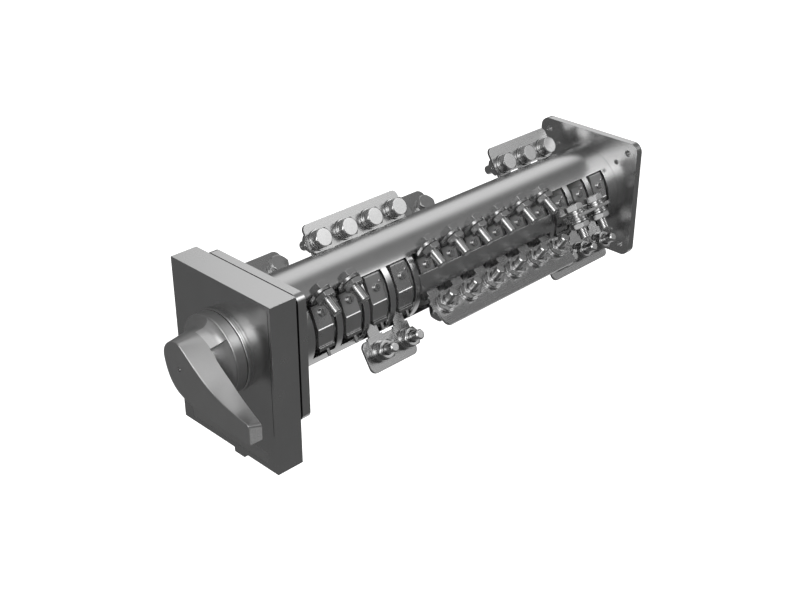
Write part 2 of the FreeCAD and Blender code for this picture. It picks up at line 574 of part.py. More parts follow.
# Collar and flared neck, turned about the shaft.
sk = sketch(b, "collar_profile", "XY_Plane")
neck = [(S("collar_radius").v - 1.5, -47.0), (31.0, -47.45), (25.5, -48.7), (20.6, -51.4), (17.4, -55.2), (15.9, -59.2), (15.4, -63.0)]
neck_curve = Part.BSplineCurve()
neck_curve.interpolate([Vec(x, y, 0) for x, y in neck])
sk.addGeometry(neck_curve, False)
sk.addConstraint(Sketcher.Constraint("Block", 0))
chain = [neck[-1], (0, -63.0), (0, -14.0), (S("spindle_radius"), -14.0), (S("spindle_radius"), -S("collar_back")),
         (S("collar_radius") - 0.5, -S("collar_back")), (S("collar_radius"), -S("collar_back") - 0.5),
         (S("collar_radius"), -S("collar_front") + 1.5), (S("collar_radius") - 0.45, -S("collar_front") + 0.45), neck[0]]
for k in range(len(chain) - 1):
    ends = [(dim(x).v, dim(y).v) for x, y in (chain[k], chain[k + 1])]
    sk.addGeometry(Part.LineSegment(Vec(ends[0][0], ends[0][1], 0), Vec(ends[1][0], ends[1][1], 0)), False)
    if k:
        sk.addConstraint(Sketcher.Constraint("Coincident", k, 2, k + 1, 1))
        pin_point(sk, k + 1, 1, chain[k][0], chain[k][1])
sk.addConstraint(Sketcher.Constraint("Coincident", 0, 2, 1, 1))
sk.addConstraint(Sketcher.Constraint("Coincident", 0, 1, len(chain) - 1, 2))
revolve(b, sk, "collar_turned")
doc.recompute()
skb = sketch(b, "shaft_bore_outline", "XZ_Plane", 14.0)
circle(skb, 0, 0, S("journal_radius") + 0.03)
cutting(b, lambda: pocket(b, skb, 46.4, "shaft_bore", reverse=True), 1000)
skd = sketch(b, "screw_hole_outline", "XZ_Plane", S("lever_front"))
circle(skd, 0, 0, 2.1)
f = cutting(b, lambda: pocket(b, skd, 20.0, "screw_hole"), 50)
b.Placement = FreeCAD.Placement(Vec(0, 0, 0), FreeCAD.Rotation(Vec(0, 1, 0), VALUE["lever_drop"]))
keep(b, "selector_handle")

b = new_body("handle_screw")
sk = sketch(b, "handle_screw_profile", "XY_Plane")
polygon(sk, [(0, -76.2), (1.7, -76.2), (2.0, -75.9), (2.0, -49.4), (1.4, -48.6), (0, -48.6)])
revolve(b, sk, "handle_screw_turned")
skh = sketch(b, "handle_screw_socket", "XZ_Plane", 76.2)
polygon(skh, [(1.15 * math.cos(math.radians(60 * k)), 1.15 * math.sin(math.radians(60 * k))) for k in range(6)])
cutting(b, lambda: pocket(b, skh, 1.6, "handle_screw_hex"), 1)
keep(b, "handle_screw")

# ---------------------------------------------------------------- indexing
b = new_body("star_wheel")
sk = sketch(b, "star_outline", "XZ_Plane", -S("star_front"))
circle(sk, 0, 0, S("star_radius"))
half = S("square_side") / 2 + 0.04
rectangle(sk, -half, half, -half, half)
pad(b, sk, S("star_back") - S("star_front"), "star_disc", reverse=True)
skn = sketch(b, "notch_outline", "XZ_Plane", -S("star_front"))
circle(skn, 0, S("star_radius") + 1.7, 2.6)
notch = cutting(b, lambda: pocket(b, skn, 10.0, "first_notch"), 2)
ring = b.newObject("PartDesign::PolarPattern", "notch_ring")
ring.Originals = [notch]
ring.Axis = (skn, ["N_Axis"])
ring.Angle = 360
ring.Occurrences = int(round(360 / VALUE["position_step"]))
b.Tip = ring
doc.recompute()
keep(b, "star_wheel")

b = new_body("stop_arm")
sk = sketch(b, "stop_disc_outline", "XZ_Plane", -16.5)
circle(sk, 0, 0, 15.0)
across = half * math.sqrt(2)
polygon(sk, [(across * math.cos(math.radians(45 + VALUE["lever_drop"] + 90 * k)),
              across * math.sin(math.radians(45 + VALUE["lever_drop"] + 90 * k))) for k in range(4)])
pad(b, sk, 3.6, "stop_disc", reverse=True)
sk = sketch(b, "stop_finger_outline", "XZ_Plane", -16.5)
rectangle(sk, 12.0, 26.5, -4.0, 4.0)
pad(b, sk, 3.6, "stop_finger", reverse=True)
b.Placement = FreeCAD.Placement(Vec(0, 0, 0), FreeCAD.Rotation(Vec(0, 1, 0), VALUE["lever_drop"]))
keep(b, "stop_arm")


def part_cylinder(name, radius, height, place, angle=None):
    c = doc.addObject("Part::Cylinder", name)
    bind(c, "Radius", radius)
    bind(c, "Height", height)
    if angle is not None:
        bind(c, "Angle", angle)
    c.Placement = place
    return c


def part_cut(name, base, tool):
    c = doc.addObject("Part::Cut", name)
    c.Base = base
    c.Tool = tool
    return c


# Part cylinders stand on local Z; this turns local Z to +Y with local X kept.
TO_Y = FreeCAD.Rotation(Vec(1, 0, 0), -90)


def at_y(y, spin=0.0):
    """Local Z to +Y from plane y, then spun about the shaft so that local X
    points spin degrees above +X (towards +Z)."""
    return FreeCAD.Placement(Vec(0, y, 0), FreeCAD.Rotation(Vec(0, 1, 0), -spin).multiply(TO_Y))


stage_a = part_cylinder("housing_blank", S("disc_radius"), 11.8, at_y(VALUE["front_boss"]))
stage_b = part_cylinder("housing_bore", 23.2, 11.8, at_y(VALUE["front_boss"]))
stage_c = part_cut("housing_ring", stage_a, stage_b)
# The stop space is open over the handle's swing plus the finger's own width;
# the wall left below it is the pair of end stops.
stop_wall = 128.8
stage_d = part_cylinder("stop_space", 27.5, 6.3, at_y(VALUE["front_boss"], 205.6), 360.0 - stop_wall)
stage_e = part_cut("housing_with_stops", stage_c, stage_d)
stage_f = part_cylinder("ball_bores", 2.5, 90.0, FreeCAD.Placement(Vec(0, 22.9, -45), FreeCAD.Rotation()))
stage_g = part_cut("housing_with_bores", stage_e, stage_f)
rods_in = []
for sx in (-1, 1):
    for sz in (-1, 1):
        rods_in.append(part_cylinder("housing_rod_hole_%d%d" % (sx + 1, sz + 1), S("rod_radius") + 0.1, 20.0, FreeCAD.Placement(
            Vec(sx * VALUE["rod_x"], 10.0, sz * VALUE["rod_z"]), TO_Y)))
stage_h = doc.addObject("Part::MultiFuse", "housing_rod_holes")
stage_h.Shapes = rods_in
housing = part_cut("index_housing", stage_g, stage_h)
keep(housing, "index_housing")

ball = doc.addObject("Part::Sphere", "ball_piece")
bind(ball, "Radius", 2.4)
group("detent_balls", ball, [FreeCAD.Placement(Vec(0, 22.9, s * (VALUE["star_radius"] + 2.7)), FreeCAD.Rotation()) for s in (-1, 1)])

# Helical detent springs, three millimetres across, behind each ball.
helix = Part.makeHelix(1.6, 11.2, 1.85)
profile = Part.Wire([Part.makeCircle(0.35, Vec(1.85, 0, 0), Vec(0, 1, 0))])
coil = Part.Wire(helix.Edges).makePipeShell([profile], True, True)
spring_piece = doc.addObject("Part::Feature", "spring_piece")
spring_piece.Shape = coil
group("detent_springs", spring_piece, [
    FreeCAD.Placement(Vec(0, 22.9, VALUE["star_radius"] + 5.6), FreeCAD.Rotation()),
    FreeCAD.Placement(Vec(0, 22.9, -VALUE["star_radius"] - 5.6), FreeCAD.Rotation(Vec(1, 0, 0), 180))])

# ---------------------------------------------------------------- deck stack
b = new_body("disc_piece")
sk = sketch(b, "disc_outline", "XZ_Plane")
circle(sk, 0, 0, S("disc_radius"))
circle(sk, 0, 0, S("disc_bore"))
for sx in (-1, 1):
    for sz in (-1, 1):
        circle(sk, sx * S("rod_x"), sz * S("rod_z"), S("rod_radius") + 0.1)
pad(b, sk, S("disc_thick"), "disc_slab", both=True)
doc.recompute()
decks = range(int(VALUE["deck_count"]))
group("partition_discs", b, [FreeCAD.Placement(Vec(0, deck_y(i) - VALUE["deck_pitch"] / 2, 0), FreeCAD.Rotation())
                             for i in range(int(VALUE["deck_count"]) + 1)])

rod = part_cylinder("rod_piece", S("rod_radius"), S("rear_boss") - S("front_boss") + 7.6, FreeCAD.Placement())
group("tie_rods", rod, [FreeCAD.Placement(Vec(sx * VALUE["rod_x"], VALUE["front_boss"] - 3.8, sz * VALUE["rod_z"]), TO_Y)
                        for sx in (-1, 1) for sz in (-1, 1)])

b = new_body("drum_piece")
sk = sketch(b, "drum_outline", "XZ_Plane")
circle(sk, 0, 0, S("drum_radius"))
rectangle(sk, -half, half, -half, half)
pad(b, sk, S("drum_length"), "drum_slab", both=True)
doc.recompute()
group("contact_drums", b, [FreeCAD.Placement(Vec(0, deck_y(i), 0), FreeCAD.Rotation()) for i in decks])

seg_a = part_cylinder("segment_outer", S("segment_radius"), S("segment_length"), FreeCAD.Placement(), S("segment_angle"))
seg_b = part_cylinder("segment_inner", S("drum_radius") + 0.05, S("segment_length"), FreeCAD.Placement())
segment = part_cut("segment_piece", seg_a, seg_b)
doc.recompute()
group("moving_contacts", segment, [at_y(deck_y(i) - VALUE["segment_length"] / 2, 60.0 + 30.0 * (i % 8)) for i in decks])

# ---------------------------------------------------------------- contact blocks
# Section of a moulded block seen along the shaft: upright outer face, sloped
# shoulder, and a back that clears the drum and the terminal tabs above and below.
SECTION = [(S("block_face"), -S("block_low")), (S("block_face"), S("block_top")), (34.2, 27.2), (33.5, 26.9),
           (22.99, 10.71), (20.6, 7.0), (20.6, -5.4), (24.2, -S("block_low"))]
BASE_SECTION = [(27.0, -S("block_low")), (27.0, 16.6), (22.99, 10.71), (20.6, 7.0), (20.6, -5.4), (24.2, -S("block_low"))]
# The far blocks leave more room above, for the far upper tabs.
FAR_SECTION = [(S("block_face"), -S("block_low")), (S("block_face"), S("block_top")), (35.2, 25.02), (34.45, 24.9),
               (24.42, 9.78), (20.6, 3.9), (20.6, -5.4), (24.2, -S("block_low"))]
# Where no upper tab leaves the tube the near block fills its window to the top.
TALL_SECTION = [(S("block_face"), -S("block_low")), (S("block_face"), S("block_top")), (32.5, 30.9), (26.5, 30.9),
                (22.99, 10.71), (20.6, 7.0), (20.6, -5.4), (24.2, -S("block_low"))]
FAR_BASE_SECTION = [(27.0, -S("block_low")), (27.0, 13.75), (20.6, 3.9), (20.6, -5.4), (24.2, -S("block_low"))]


def block(name, slot, section=SECTION, base_section=BASE_SECTION):
    body = new_body(name)
    prof = sketch(body, name + "_section", "XZ_Plane")
    polygon(prof, section)
    pad(body, prof, 2 * S("block_half"), name + "_body", both=True)
    prof = sketch(body, name + "_base_section", "XZ_Plane")
    polygon(prof, base_section)
    pad(body, prof, 2 * S("block_base_half"), name + "_base", both=True)
    if slot:
        er, es, _ = ROW[slot]
        low, high = LEVEL[slot]["tab"] - 0.1, LEVEL[slot]["tab"] + VALUE["tab_thick"] + 0.1
        corners = [er * 12 + es * low, er * 60 + es * low, er * 60 + es * high, er * 12 + es * high]
        cut_sk = sketch(body, name + "_slot_outline", "XZ_Plane")
        polygon(cut_sk, [(p.x, p.z) for p in corners])
        cutting(body, lambda: pocket(body, cut_sk, S("tab_neck") + 0.4, name + "_slot", both=True), 50)
    doc.recompute()
    return body


plain = block("plain_block", None)
far_plain = block("far_block", None, FAR_SECTION, FAR_BASE_SECTION)
tall = block("tall_block", None, TALL_SECTION)
low_slot = block("low_slot_block", "long_bus")
high_slot = block("high_slot_block", "rear_link")
HALF_TURN = FreeCAD.Rotation(Vec(0, 0, 1), 180)


def near(i):
    return FreeCAD.Placement(Vec(0, deck_y(i), 0), FreeCAD.Rotation())


def far(i):
    return FreeCAD.Placement(Vec(0, deck_y(i), 0), HALF_TURN)


near_low = DECKS["long_bus"]
near_high = DECKS["rear_link"]
far_high = DECKS["far_link"]
near_tall = (2, 3, 12)
group("contact_blocks_tall", tall, [near(i) for i in near_tall])
group("contact_blocks_plain", plain, [near(i) for i in decks if i not in near_low and i not in near_high and i not in near_tall]
      + [far(i) for i in decks if i not in far_high and i not in DECKS["far_upper"]])
group("contact_blocks_far", far_plain, [far(i) for i in DECKS["far_upper"]])
group("contact_blocks_low_slot", low_slot, [near(i) for i in near_low])
group("contact_blocks_high_slot", high_slot, [near(i) for i in near_high] + [far(i) for i in far_high])

# Clamp screws on the sloped shoulder: one large and one small per block.
NORMAL = Vec(19.2, 0, 8.8)
NORMAL.normalize()
AXIS_Z_TO_NORMAL = FreeCAD.Rotation(Vec(0, 0, 1), NORMAL)


def screw_piece(name, head_radius, head_height, shank_radius, shank, slot):
    body = new_body(name)
    prof = sketch(body, name + "_profile", "YZ_Plane")
    polygon(prof, [(0, -dim(shank)), (shank_radius, -dim(shank)), (shank_radius, 0), (head_radius, 0),
                   (head_radius, head_height - 0.4), (head_radius - 0.4, head_height), (0, head_height)])
    revolve(body, prof, name + "_turned")
    slot_sk = sketch(body, name + "_slot_outline", "XY_Plane", head_height)
    rectangle(slot_sk, -head_radius - 1, head_radius + 1, -slot / 2, slot / 2)
    cutting(body, lambda: pocket(body, slot_sk, head_height * 0.5, name + "_slot"), 0.2)
    doc.recompute()
    return body


def shoulder(i, y, z, side):
    x = 43.0 - (z - 8.0) * 8.8 / 19.2
    p = FreeCAD.Placement(Vec(x, y, z), AXIS_Z_TO_NORMAL)
    base = near(i) if side > 0 else far(i)
    return base.multiply(p)


big_screw = screw_piece("big_screw_piece", 3.6, 2.0, 1.5, 4.0, 0.9)
small_screw = screw_piece("small_screw_piece", 1.3, 0.8, 0.7, 1.6, 0.4)
group("clamp_screws", big_screw, [shoulder(i, 1.0 * s, 20.0, s) for i in decks for s in (1, -1)])
group("marker_screws", small_screw, [shoulder(i, 6.6 * s, 24.2 if s > 0 else 22.6, s) for i in decks for s in (1, -1)])

# Brass strips under the blocks. On the front four decks and the last one the
# strip carries a short slanted leg.
b = new_body("strip_piece")
sk = sketch(b, "strip_section", "XZ_Plane")
polygon(sk, [(27.0, -9.3), (44.5, -9.3), (44.5, -12.3), (27.0, -12.3)])
pad(b, sk, 2 * S("block_half"), "strip_bar", both=True)
doc.recompute()
strip_plain = b
b = new_body("strip_leg_piece")
sk = sketch(b, "leg_strip_section", "XZ_Plane")
polygon(sk, [(27.0, -9.3), (44.5, -9.3), (44.5, -12.3), (27.0, -12.3)])
pad(b, sk, 2 * S("block_half"), "leg_strip_bar", both=True)
sk = sketch(b, "leg_section", "XZ_Plane")
polygon(sk, [(41.6, -12.0), (44.5, -12.0), (47.9, -18.2), (46.0, -18.2)])
pad(b, sk, 2.6, "leg_bar", both=True)
doc.recompute()
strip_leg = b
legged = (0, 1, 2, 3, 12)
group("support_strips", strip_plain, [near(i) for i in decks if i not in legged] + [far(i) for i in decks])
group("contact_leg_strips", strip_leg, [near(i) for i in legged])

# ---------------------------------------------------------------- terminal tabs
def tab(name, start, eye_at):
    body = new_body(name)
    prof = sketch(body, name + "_neck_outline", "XY_Plane")
    rectangle(prof, start, eye_at, -S("tab_neck") / 2, S("tab_neck") / 2)
    pad(body, prof, S("tab_thick"), name + "_neck")
    prof = sketch(body, name + "_wide_outline", "XY_Plane")
    rectangle(prof, S("tab_wide_from"), eye_at, -S("tab_eye") + 0.3, S("tab_eye") - 0.3)
    pad(body, prof, S("tab_thick"), name + "_wide")
    prof = sketch(body, name + "_eye_outline", "XY_Plane")
    circle(prof, eye_at, 0, S("tab_eye"))
    pad(body, prof, S("tab_thick"), name + "_eye")
    hole = sketch(body, name + "_hole_outline", "XY_Plane")
    circle(hole, eye_at, 0, S("bolt_hole"))
    cutting(body, lambda: pocket(body, hole, 10.0, name + "_hole", reverse=True), 50)
    return body


for row_name, node, start, reach_word in (
        ("near_upper", "near_upper_tabs", 16.0, "row_a_reach"), ("far_upper", "far_upper_tabs", 16.0, "row_a_reach"),
        ("near_lower", "near_lower_tabs", 17.0, "row_c_reach"), ("long_bus", "long_busbar_tabs", 15.0, "row_b_reach"),
        ("rear_link", "rear_link_tabs", 23.4, "row_b_reach"), ("far_link", "far_link_tabs", 23.4, "row_b_reach")):
    piece = tab(node + "_piece", start, S(reach_word))
    doc.recompute()
    group(node, piece, [row_place(row_name, i, 0.0, LEVEL[row_name]["tab"]) for i in DECKS[row_name]])


# ---------------------------------------------------------------- bus bars
def busbar(name, row_name, first, count, r_in, r_out, before, after, reach_word, big=None):
    """A flat copper bar over some neighbouring terminals of one row."""
    er, es, _ = ROW[row_name]
    body = new_body(name)
    prof = sketch(body, name + "_outline", "XY_Plane")
    rectangle(prof, r_in, r_out, -dim(before), S("deck_pitch") * (count - 1) + after)
    slab_ = pad(body, prof, S("bus_thick"), name + "_slab")
    doc.recompute()

    def corner(e):
        if e.Curve.TypeId != "Part::GeomLine":
            return False
        a, c = e.Vertexes[0].Point, e.Vertexes[-1].Point
        return abs(a.x - c.x) < 1e-6 and abs(a.y - c.y) < 1e-6

    round_edges(body, slab_, S("bus_corner"), corner, name + "_corners")
    holes = sketch(body, name + "_hole_outline", "XY_Plane")
    for k in range(count):
        circle(holes, S(reach_word), S("deck_pitch") * k, S("bolt_hole"))
    cutting(body, lambda: pocket(body, holes, 10.0, name + "_holes", reverse=True), 50)
    ey = es.cross(er)
    start_deck = first if ey.y > 0 else first + count - 1
    body.Placement = row_place(row_name, start_deck, 0.0, LEVEL[row_name]["bar"])
    keep(body, name)


busbar("far_front_busbar", "far_upper", 2, 4, 43.6, 72.0, 11.0, 12.0, "row_a_reach")
busbar("far_rear_busbar", "far_upper", 10, 3, 45.0, 75.0, 13.0, 13.0, "row_a_reach")
busbar("near_front_bracket", "near_lower", 2, 2, 46.0, 76.0, 16.0, 10.0, "row_c_reach")
busbar("near_rear_busbar", "near_lower", 10, 3, 46.0, 76.0, 16.0, 9.0, "row_c_reach")
busbar("near_long_busbar", "long_bus", 4, 6, 46.0, 78.0, 13.0, 13.0, "row_b_reach")
busbar("rear_link_bar", "rear_link", 10, 2, 46.0, 70.0, 13.0, 13.0, "row_b_reach")
busbar("far_front_link", "far_link", 0, 2, 46.0, 76.0, 13.0, 13.0, "row_b_reach")
busbar("far_mid_link", "far_link", 6, 2, 46.0, 78.0, 13.0, 13.0, "row_b_reach")


# ---------------------------------------------------------------- terminal fasteners
def hexagon(sk_, flats):
    """Corners on the local Y axis, flats across local X."""
    r = flats / 2 / math.cos(math.radians(30))
    polygon(sk_, [(r * math.cos(math.radians(30 + 60 * k)) * 1.0, r * math.sin(math.radians(30 + 60 * k))) for k in range(6)])


def bolt(name, length, step):
    """Hexagon bolt. Beyond the step, where the thread stands free of the nut, the
    shank is 4.8 mm in radius, between the thread's crest and its root."""
    body = new_body(name)
    prof = sketch(body, name + "_head_outline", "XY_Plane")
    hexagon(prof, S("head_flats"))
    pad(body, prof, S("head_height"), name + "_head", reverse=True)
    # Round the corners of the head's outer face with a turned chamfer.
    cone = sketch(body, name + "_chamfer_profile", "YZ_Plane")
    polygon(cone, [(8.1, -S("head_height")), (10.2, -S("head_height")), (10.2, 1.3 - S("head_height"))])
    cutting(body, lambda: groove(body, cone, name + "_head_chamfer"), 1)
    shank = sketch(body, name + "_shank_profile", "YZ_Plane")
    polygon(shank, [(0, -1.0), (S("bolt_radius"), -1.0), (S("bolt_radius"), step), (S("bolt_radius") - 0.2, step),
                    (S("bolt_radius") - 0.2, dim(length) - 1.1), (S("bolt_radius") - 1.3, length), (0, length)])
    revolve(body, shank, name + "_shank")
    doc.recompute()
    return body


def groove(body, sk_, name):
    f_ = body.newObject("PartDesign::Groove", name)
    f_.Profile = sk_
    f_.ReferenceAxis = (sk_, ["V_Axis"])
    f_.Angle = 360.0
    return f_


bolt_long = bolt("long_bolt_piece", S("bolt_long"), 18.7)
bolt_short = bolt("short_bolt_piece", S("bolt_short"), 9.0)

b = new_body("nut_piece")
sk = sketch(b, "nut_outline", "XY_Plane")
hexagon(sk, S("head_flats"))
pad(b, sk, S("nut_height"), "nut_slab")
sk1 = sketch(b, "nut_hole_outline", "XY_Plane")
circle(sk1, 0, 0, S("bolt_radius") + 0.1)
cutting(b, lambda: pocket(b, sk1, 10.0, "nut_hole", reverse=True), 50)
sk2 = sketch(b, "nut_chamfer_profile", "YZ_Plane")
polygon(sk2, [(8.1, S("nut_height")), (10.2, S("nut_height")), (10.2, S("nut_height") - 1.3)])
cutting(b, lambda: groove(b, sk2, "nut_chamfer_top"), 1)
sk3 = sketch(b, "nut_chamfer_profile_low", "YZ_Plane")
polygon(sk3, [(8.1, 0), (10.2, 0), (10.2, 1.3)])
cutting(b, lambda: groove(b, sk3, "nut_chamfer_low"), 1)
nut = b

b = new_body("washer_piece")
sk = sketch(b, "washer_outline", "XY_Plane")
circle(sk, 0, 0, S("washer_radius"))
circle(sk, 0, 0, S("bolt_hole"))
pad(b, sk, S("washer_thick"), "washer_slab")
doc.recompute()
washer = b

b = new_body("spring_washer_piece")
sk = sketch(b, "spring_washer_outline", "XY_Plane")
circle(sk, 0, 0, S("spring_washer_radius"))
circle(sk, 0, 0, S("bolt_hole"))
pad(b, sk, S("spring_washer_thick") - 0.05, "spring_washer_slab")
sk4 = sketch(b, "spring_washer_gap_outline", "XY_Plane")
polygon(sk4, [(4.0, -1.2), (10.0, -0.2), (10.0, 0.8), (4.0, -0.2)])
cutting(b, lambda: pocket(b, sk4, 10.0, "spring_washer_gap", reverse=True), 1)
spring_washer = b

places = {"long": [], "short": [], "nut": [], "washer": [], "spring": []}
for row_name in ROW:
    out = ROW[row_name][2]
    lv = LEVEL[row_name]
    for i in DECKS[row_name]:
        places["short" if row_name == "near_upper" else "long"].append(row_place(row_name, i, out, lv["head"]))
        places["nut"].append(row_place(row_name, i, out, lv["nut"]))
        for level in lv["washers"]:
            places["washer"].append(row_place(row_name, i, out, level))
        for level in lv["springs"]:
            places["spring"].append(row_place(row_name, i, out, level))
group("terminal_bolts_long", bolt_long, places["long"])
group("terminal_bolts_short", bolt_short, places["short"])
group("terminal_nuts", nut, places["nut"])
group("plain_washers", washer, places["washer"])
group("spring_washers", spring_washer, places["spring"])

# ---------------------------------------------------------------- check and write
doc.recompute()
for obj in doc.Objects:
    if "Invalid" in obj.State or "Error" in obj.State:
        raise SystemExit("%s (%s) is %s" % (obj.Name, obj.Label, obj.State))
os.makedirs("parts", exist_ok=True)
for name, thing in OUTPUT:
    shape = thing.Shape
    if shape.isNull() or not shape.isValid() or not shape.Solids:
        raise SystemExit("%s has no valid solid" % name)
for name, thing in OUTPUT:
    thing.Shape.exportStep("parts/%s.step" % name)
    print("%-28s %3d solids %12.1f mm3" % (name, len(thing.Shape.Solids), thing.Shape.Volume))
print(len(OUTPUT), "nodes")
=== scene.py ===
import json
import math

import bmesh
import bpy
from mathutils import Matrix, Vector

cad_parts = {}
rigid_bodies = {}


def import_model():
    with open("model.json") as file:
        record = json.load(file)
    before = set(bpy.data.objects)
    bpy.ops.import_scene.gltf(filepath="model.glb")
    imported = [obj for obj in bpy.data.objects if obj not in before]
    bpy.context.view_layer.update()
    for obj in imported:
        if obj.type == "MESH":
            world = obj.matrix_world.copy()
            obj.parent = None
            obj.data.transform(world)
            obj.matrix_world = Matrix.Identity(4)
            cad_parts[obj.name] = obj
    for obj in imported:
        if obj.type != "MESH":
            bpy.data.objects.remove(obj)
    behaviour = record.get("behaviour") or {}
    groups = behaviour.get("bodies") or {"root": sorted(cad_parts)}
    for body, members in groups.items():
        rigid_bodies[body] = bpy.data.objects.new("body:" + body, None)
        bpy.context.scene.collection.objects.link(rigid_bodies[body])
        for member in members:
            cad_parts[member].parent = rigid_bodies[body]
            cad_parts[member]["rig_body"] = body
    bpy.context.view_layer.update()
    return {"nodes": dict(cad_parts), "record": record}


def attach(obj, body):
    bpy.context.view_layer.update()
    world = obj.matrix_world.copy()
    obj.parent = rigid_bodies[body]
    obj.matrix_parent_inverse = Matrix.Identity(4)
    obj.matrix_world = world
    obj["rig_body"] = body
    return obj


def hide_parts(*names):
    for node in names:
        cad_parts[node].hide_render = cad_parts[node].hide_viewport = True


# Rotary voltage selector switch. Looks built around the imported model.
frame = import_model()
NODES = frame["nodes"]
MM = 0.001


# ------------------------------------------------------------------ camera
camera_data = bpy.data.cameras.new("studio_camera")
camera_data.lens = 57.155
camera_data.sensor_width = 36.0
camera_data.clip_start = 0.02
camera_data.clip_end = 60.0
camera = bpy.data.objects.new("studio_camera", camera_data)
bpy.context.scene.collection.objects.link(camera)
eye = Vector((0.750957, -0.574040, 0.541862))
back = Vector((0.6223, -0.6214, 0.4760)).normalized()
right = Vector((0.7067, 0.7076, 0.0)).normalized()
up = back.cross(right).normalized()
right = up.cross(back).normalized()
camera.matrix_world = Matrix((
    (right.x, up.x, back.x, eye.x),
    (right.y, up.y, back.y, eye.y),
    (right.z, up.z, back.z, eye.z),
    (0, 0, 0, 1)))
bpy.context.scene.camera = camera

# ------------------------------------------------------------------ light
scene = bpy.context.scene
scene.view_settings.view_transform = "Standard"
scene.view_settings.look = "None"
scene.view_settings.exposure = 0.0
scene.view_settings.gamma = 1.0

world = bpy.data.worlds.new("studio_world")
scene.world = world
world.use_nodes = True


def studio(tree):
    """A dim grey studio with soft panels of light, given by direction. The
    paper behind the object is plain white."""
    nodes, links = tree.nodes, tree.links
    nodes.clear()
    out = nodes.new("ShaderNodeOutputWorld")
    room = nodes.new("ShaderNodeBackground")
    paper = nodes.new("ShaderNodeBackground")
    pick = nodes.new("ShaderNodeMixShader")
    path = nodes.new("ShaderNodeLightPath")
    paper.inputs["Color"].default_value = (1.0, 1.0, 1.0, 1.0)
    room.inputs["Color"].default_value = (1.0, 1.0, 1.0, 1.0)
    links.new(path.outputs["Is Camera Ray"], pick.inputs[0])
    links.new(room.outputs[0], pick.inputs[1])
    links.new(paper.outputs[0], pick.inputs[2])
    links.new(pick.outputs[0], out.inputs["Surface"])
    where = nodes.new("ShaderNodeTexCoord").outputs["Generated"]

    def dot(v):
        n = nodes.new("ShaderNodeVectorMath")
        n.operation = "DOT_PRODUCT"
        links.new(where, n.inputs[0])
        n.inputs[1].default_value = tuple(v)
        return n.outputs["Value"]

    def maths(kind, a, b=0.0):
        n = nodes.new("ShaderNodeMath")
        n.operation = kind
        for i, v in enumerate((a, b)):
            if isinstance(v, (int, float)):
                n.inputs[i].default_value = v
            else:
                links.new(v, n.inputs[i])
        return n.outputs[0]

    def fade(value, full, none, amount):
        n = nodes.new("ShaderNodeMapRange")
        n.interpolation_type = "SMOOTHSTEP"
        n.inputs["From Min"].default_value = none
        n.inputs["From Max"].default_value = full
        n.inputs["To Min"].default_value = 0.0
        n.inputs["To Max"].default_value = amount
        links.new(value, n.inputs["Value"])
        return n.outputs["Result"]

    def toward(azimuth, elevation):
        a, e = math.radians(azimuth), math.radians(elevation)
        return Vector((math.cos(a) * math.cos(e), math.sin(a) * math.cos(e), math.sin(e)))

    total = None

    def add(value):
        nonlocal total
        total = value if total is None else maths("ADD", total, value)

    def panel(centre, half_width, half_height, soft, radiance, across=None):
        c = centre.normalized()
        u = Vector(across) if across else Vector((0, 0, 1)).cross(c)
        u = (u - c * u.dot(c)).normalized()
        v = c.cross(u)
        depth = maths("MAXIMUM", dot(c), 0.02)
        mask = fade(dot(c), 0.12, 0.05, radiance)
        softs = soft if isinstance(soft, tuple) else (soft, soft)
        for axis, half, soft_ in ((u, half_width, softs[0]), (v, half_height, softs[1])):
            offset = maths("ABSOLUTE", maths("DIVIDE", dot(axis), depth))
            mask = maths("MULTIPLY", mask, fade(offset, math.tan(math.radians(half - soft_)), math.tan(math.radians(half + soft_)), 1.0))
        add(mask)

    add(fade(dot((0, 0, 1)), 0.9, -0.2, 0.02))
    add(fade(dot(toward(20, 65)), math.cos(math.radians(18)), math.cos(math.radians(54)), 0.20))
    panel(toward(131, 30), 17, 15, (9, 6), 0.95)
    panel(toward(38, 31), 14, 12.5, 5, 0.84)
    panel(toward(45, 38), 7.5, 9, 4, 2.3)
    panel(toward(107, -58), 22, 22, 9, 0.55)
    panel(Vector((-0.12, 0.0, 0.99)), 40, 8.5, 4, 0.63, across=(-0.573, 0.819, 0.0))
    panel(toward(-50, 34), 13, 13, 5, 4.4)
    panel(toward(-84, 42), 13, 12, 5, 2.4)
    panel(toward(-66, 6), 10, 14, 5, 1.0)
    links.new(maths("ADD", total, 0.135), room.inputs["Strength"])


studio(world.node_tree)


def build(name, vertices, faces, smooth=True):
    mesh = bpy.data.meshes.new(name)
    mesh.from_pydata([tuple(v) for v in vertices], [], faces)
    mesh.validate()
    mesh.update()
    if smooth:
        mesh.shade_smooth()
    thing = bpy.data.objects.new(name, mesh)
    scene.collection.objects.link(thing)
    return thing


# ------------------------------------------------------------------ materials
def node(tree, kind, at=(0, 0), **values):
    n = tree.nodes.new(kind)
    n.location = at
    for key, value in values.items():
        setattr(n, key, value)
    return n


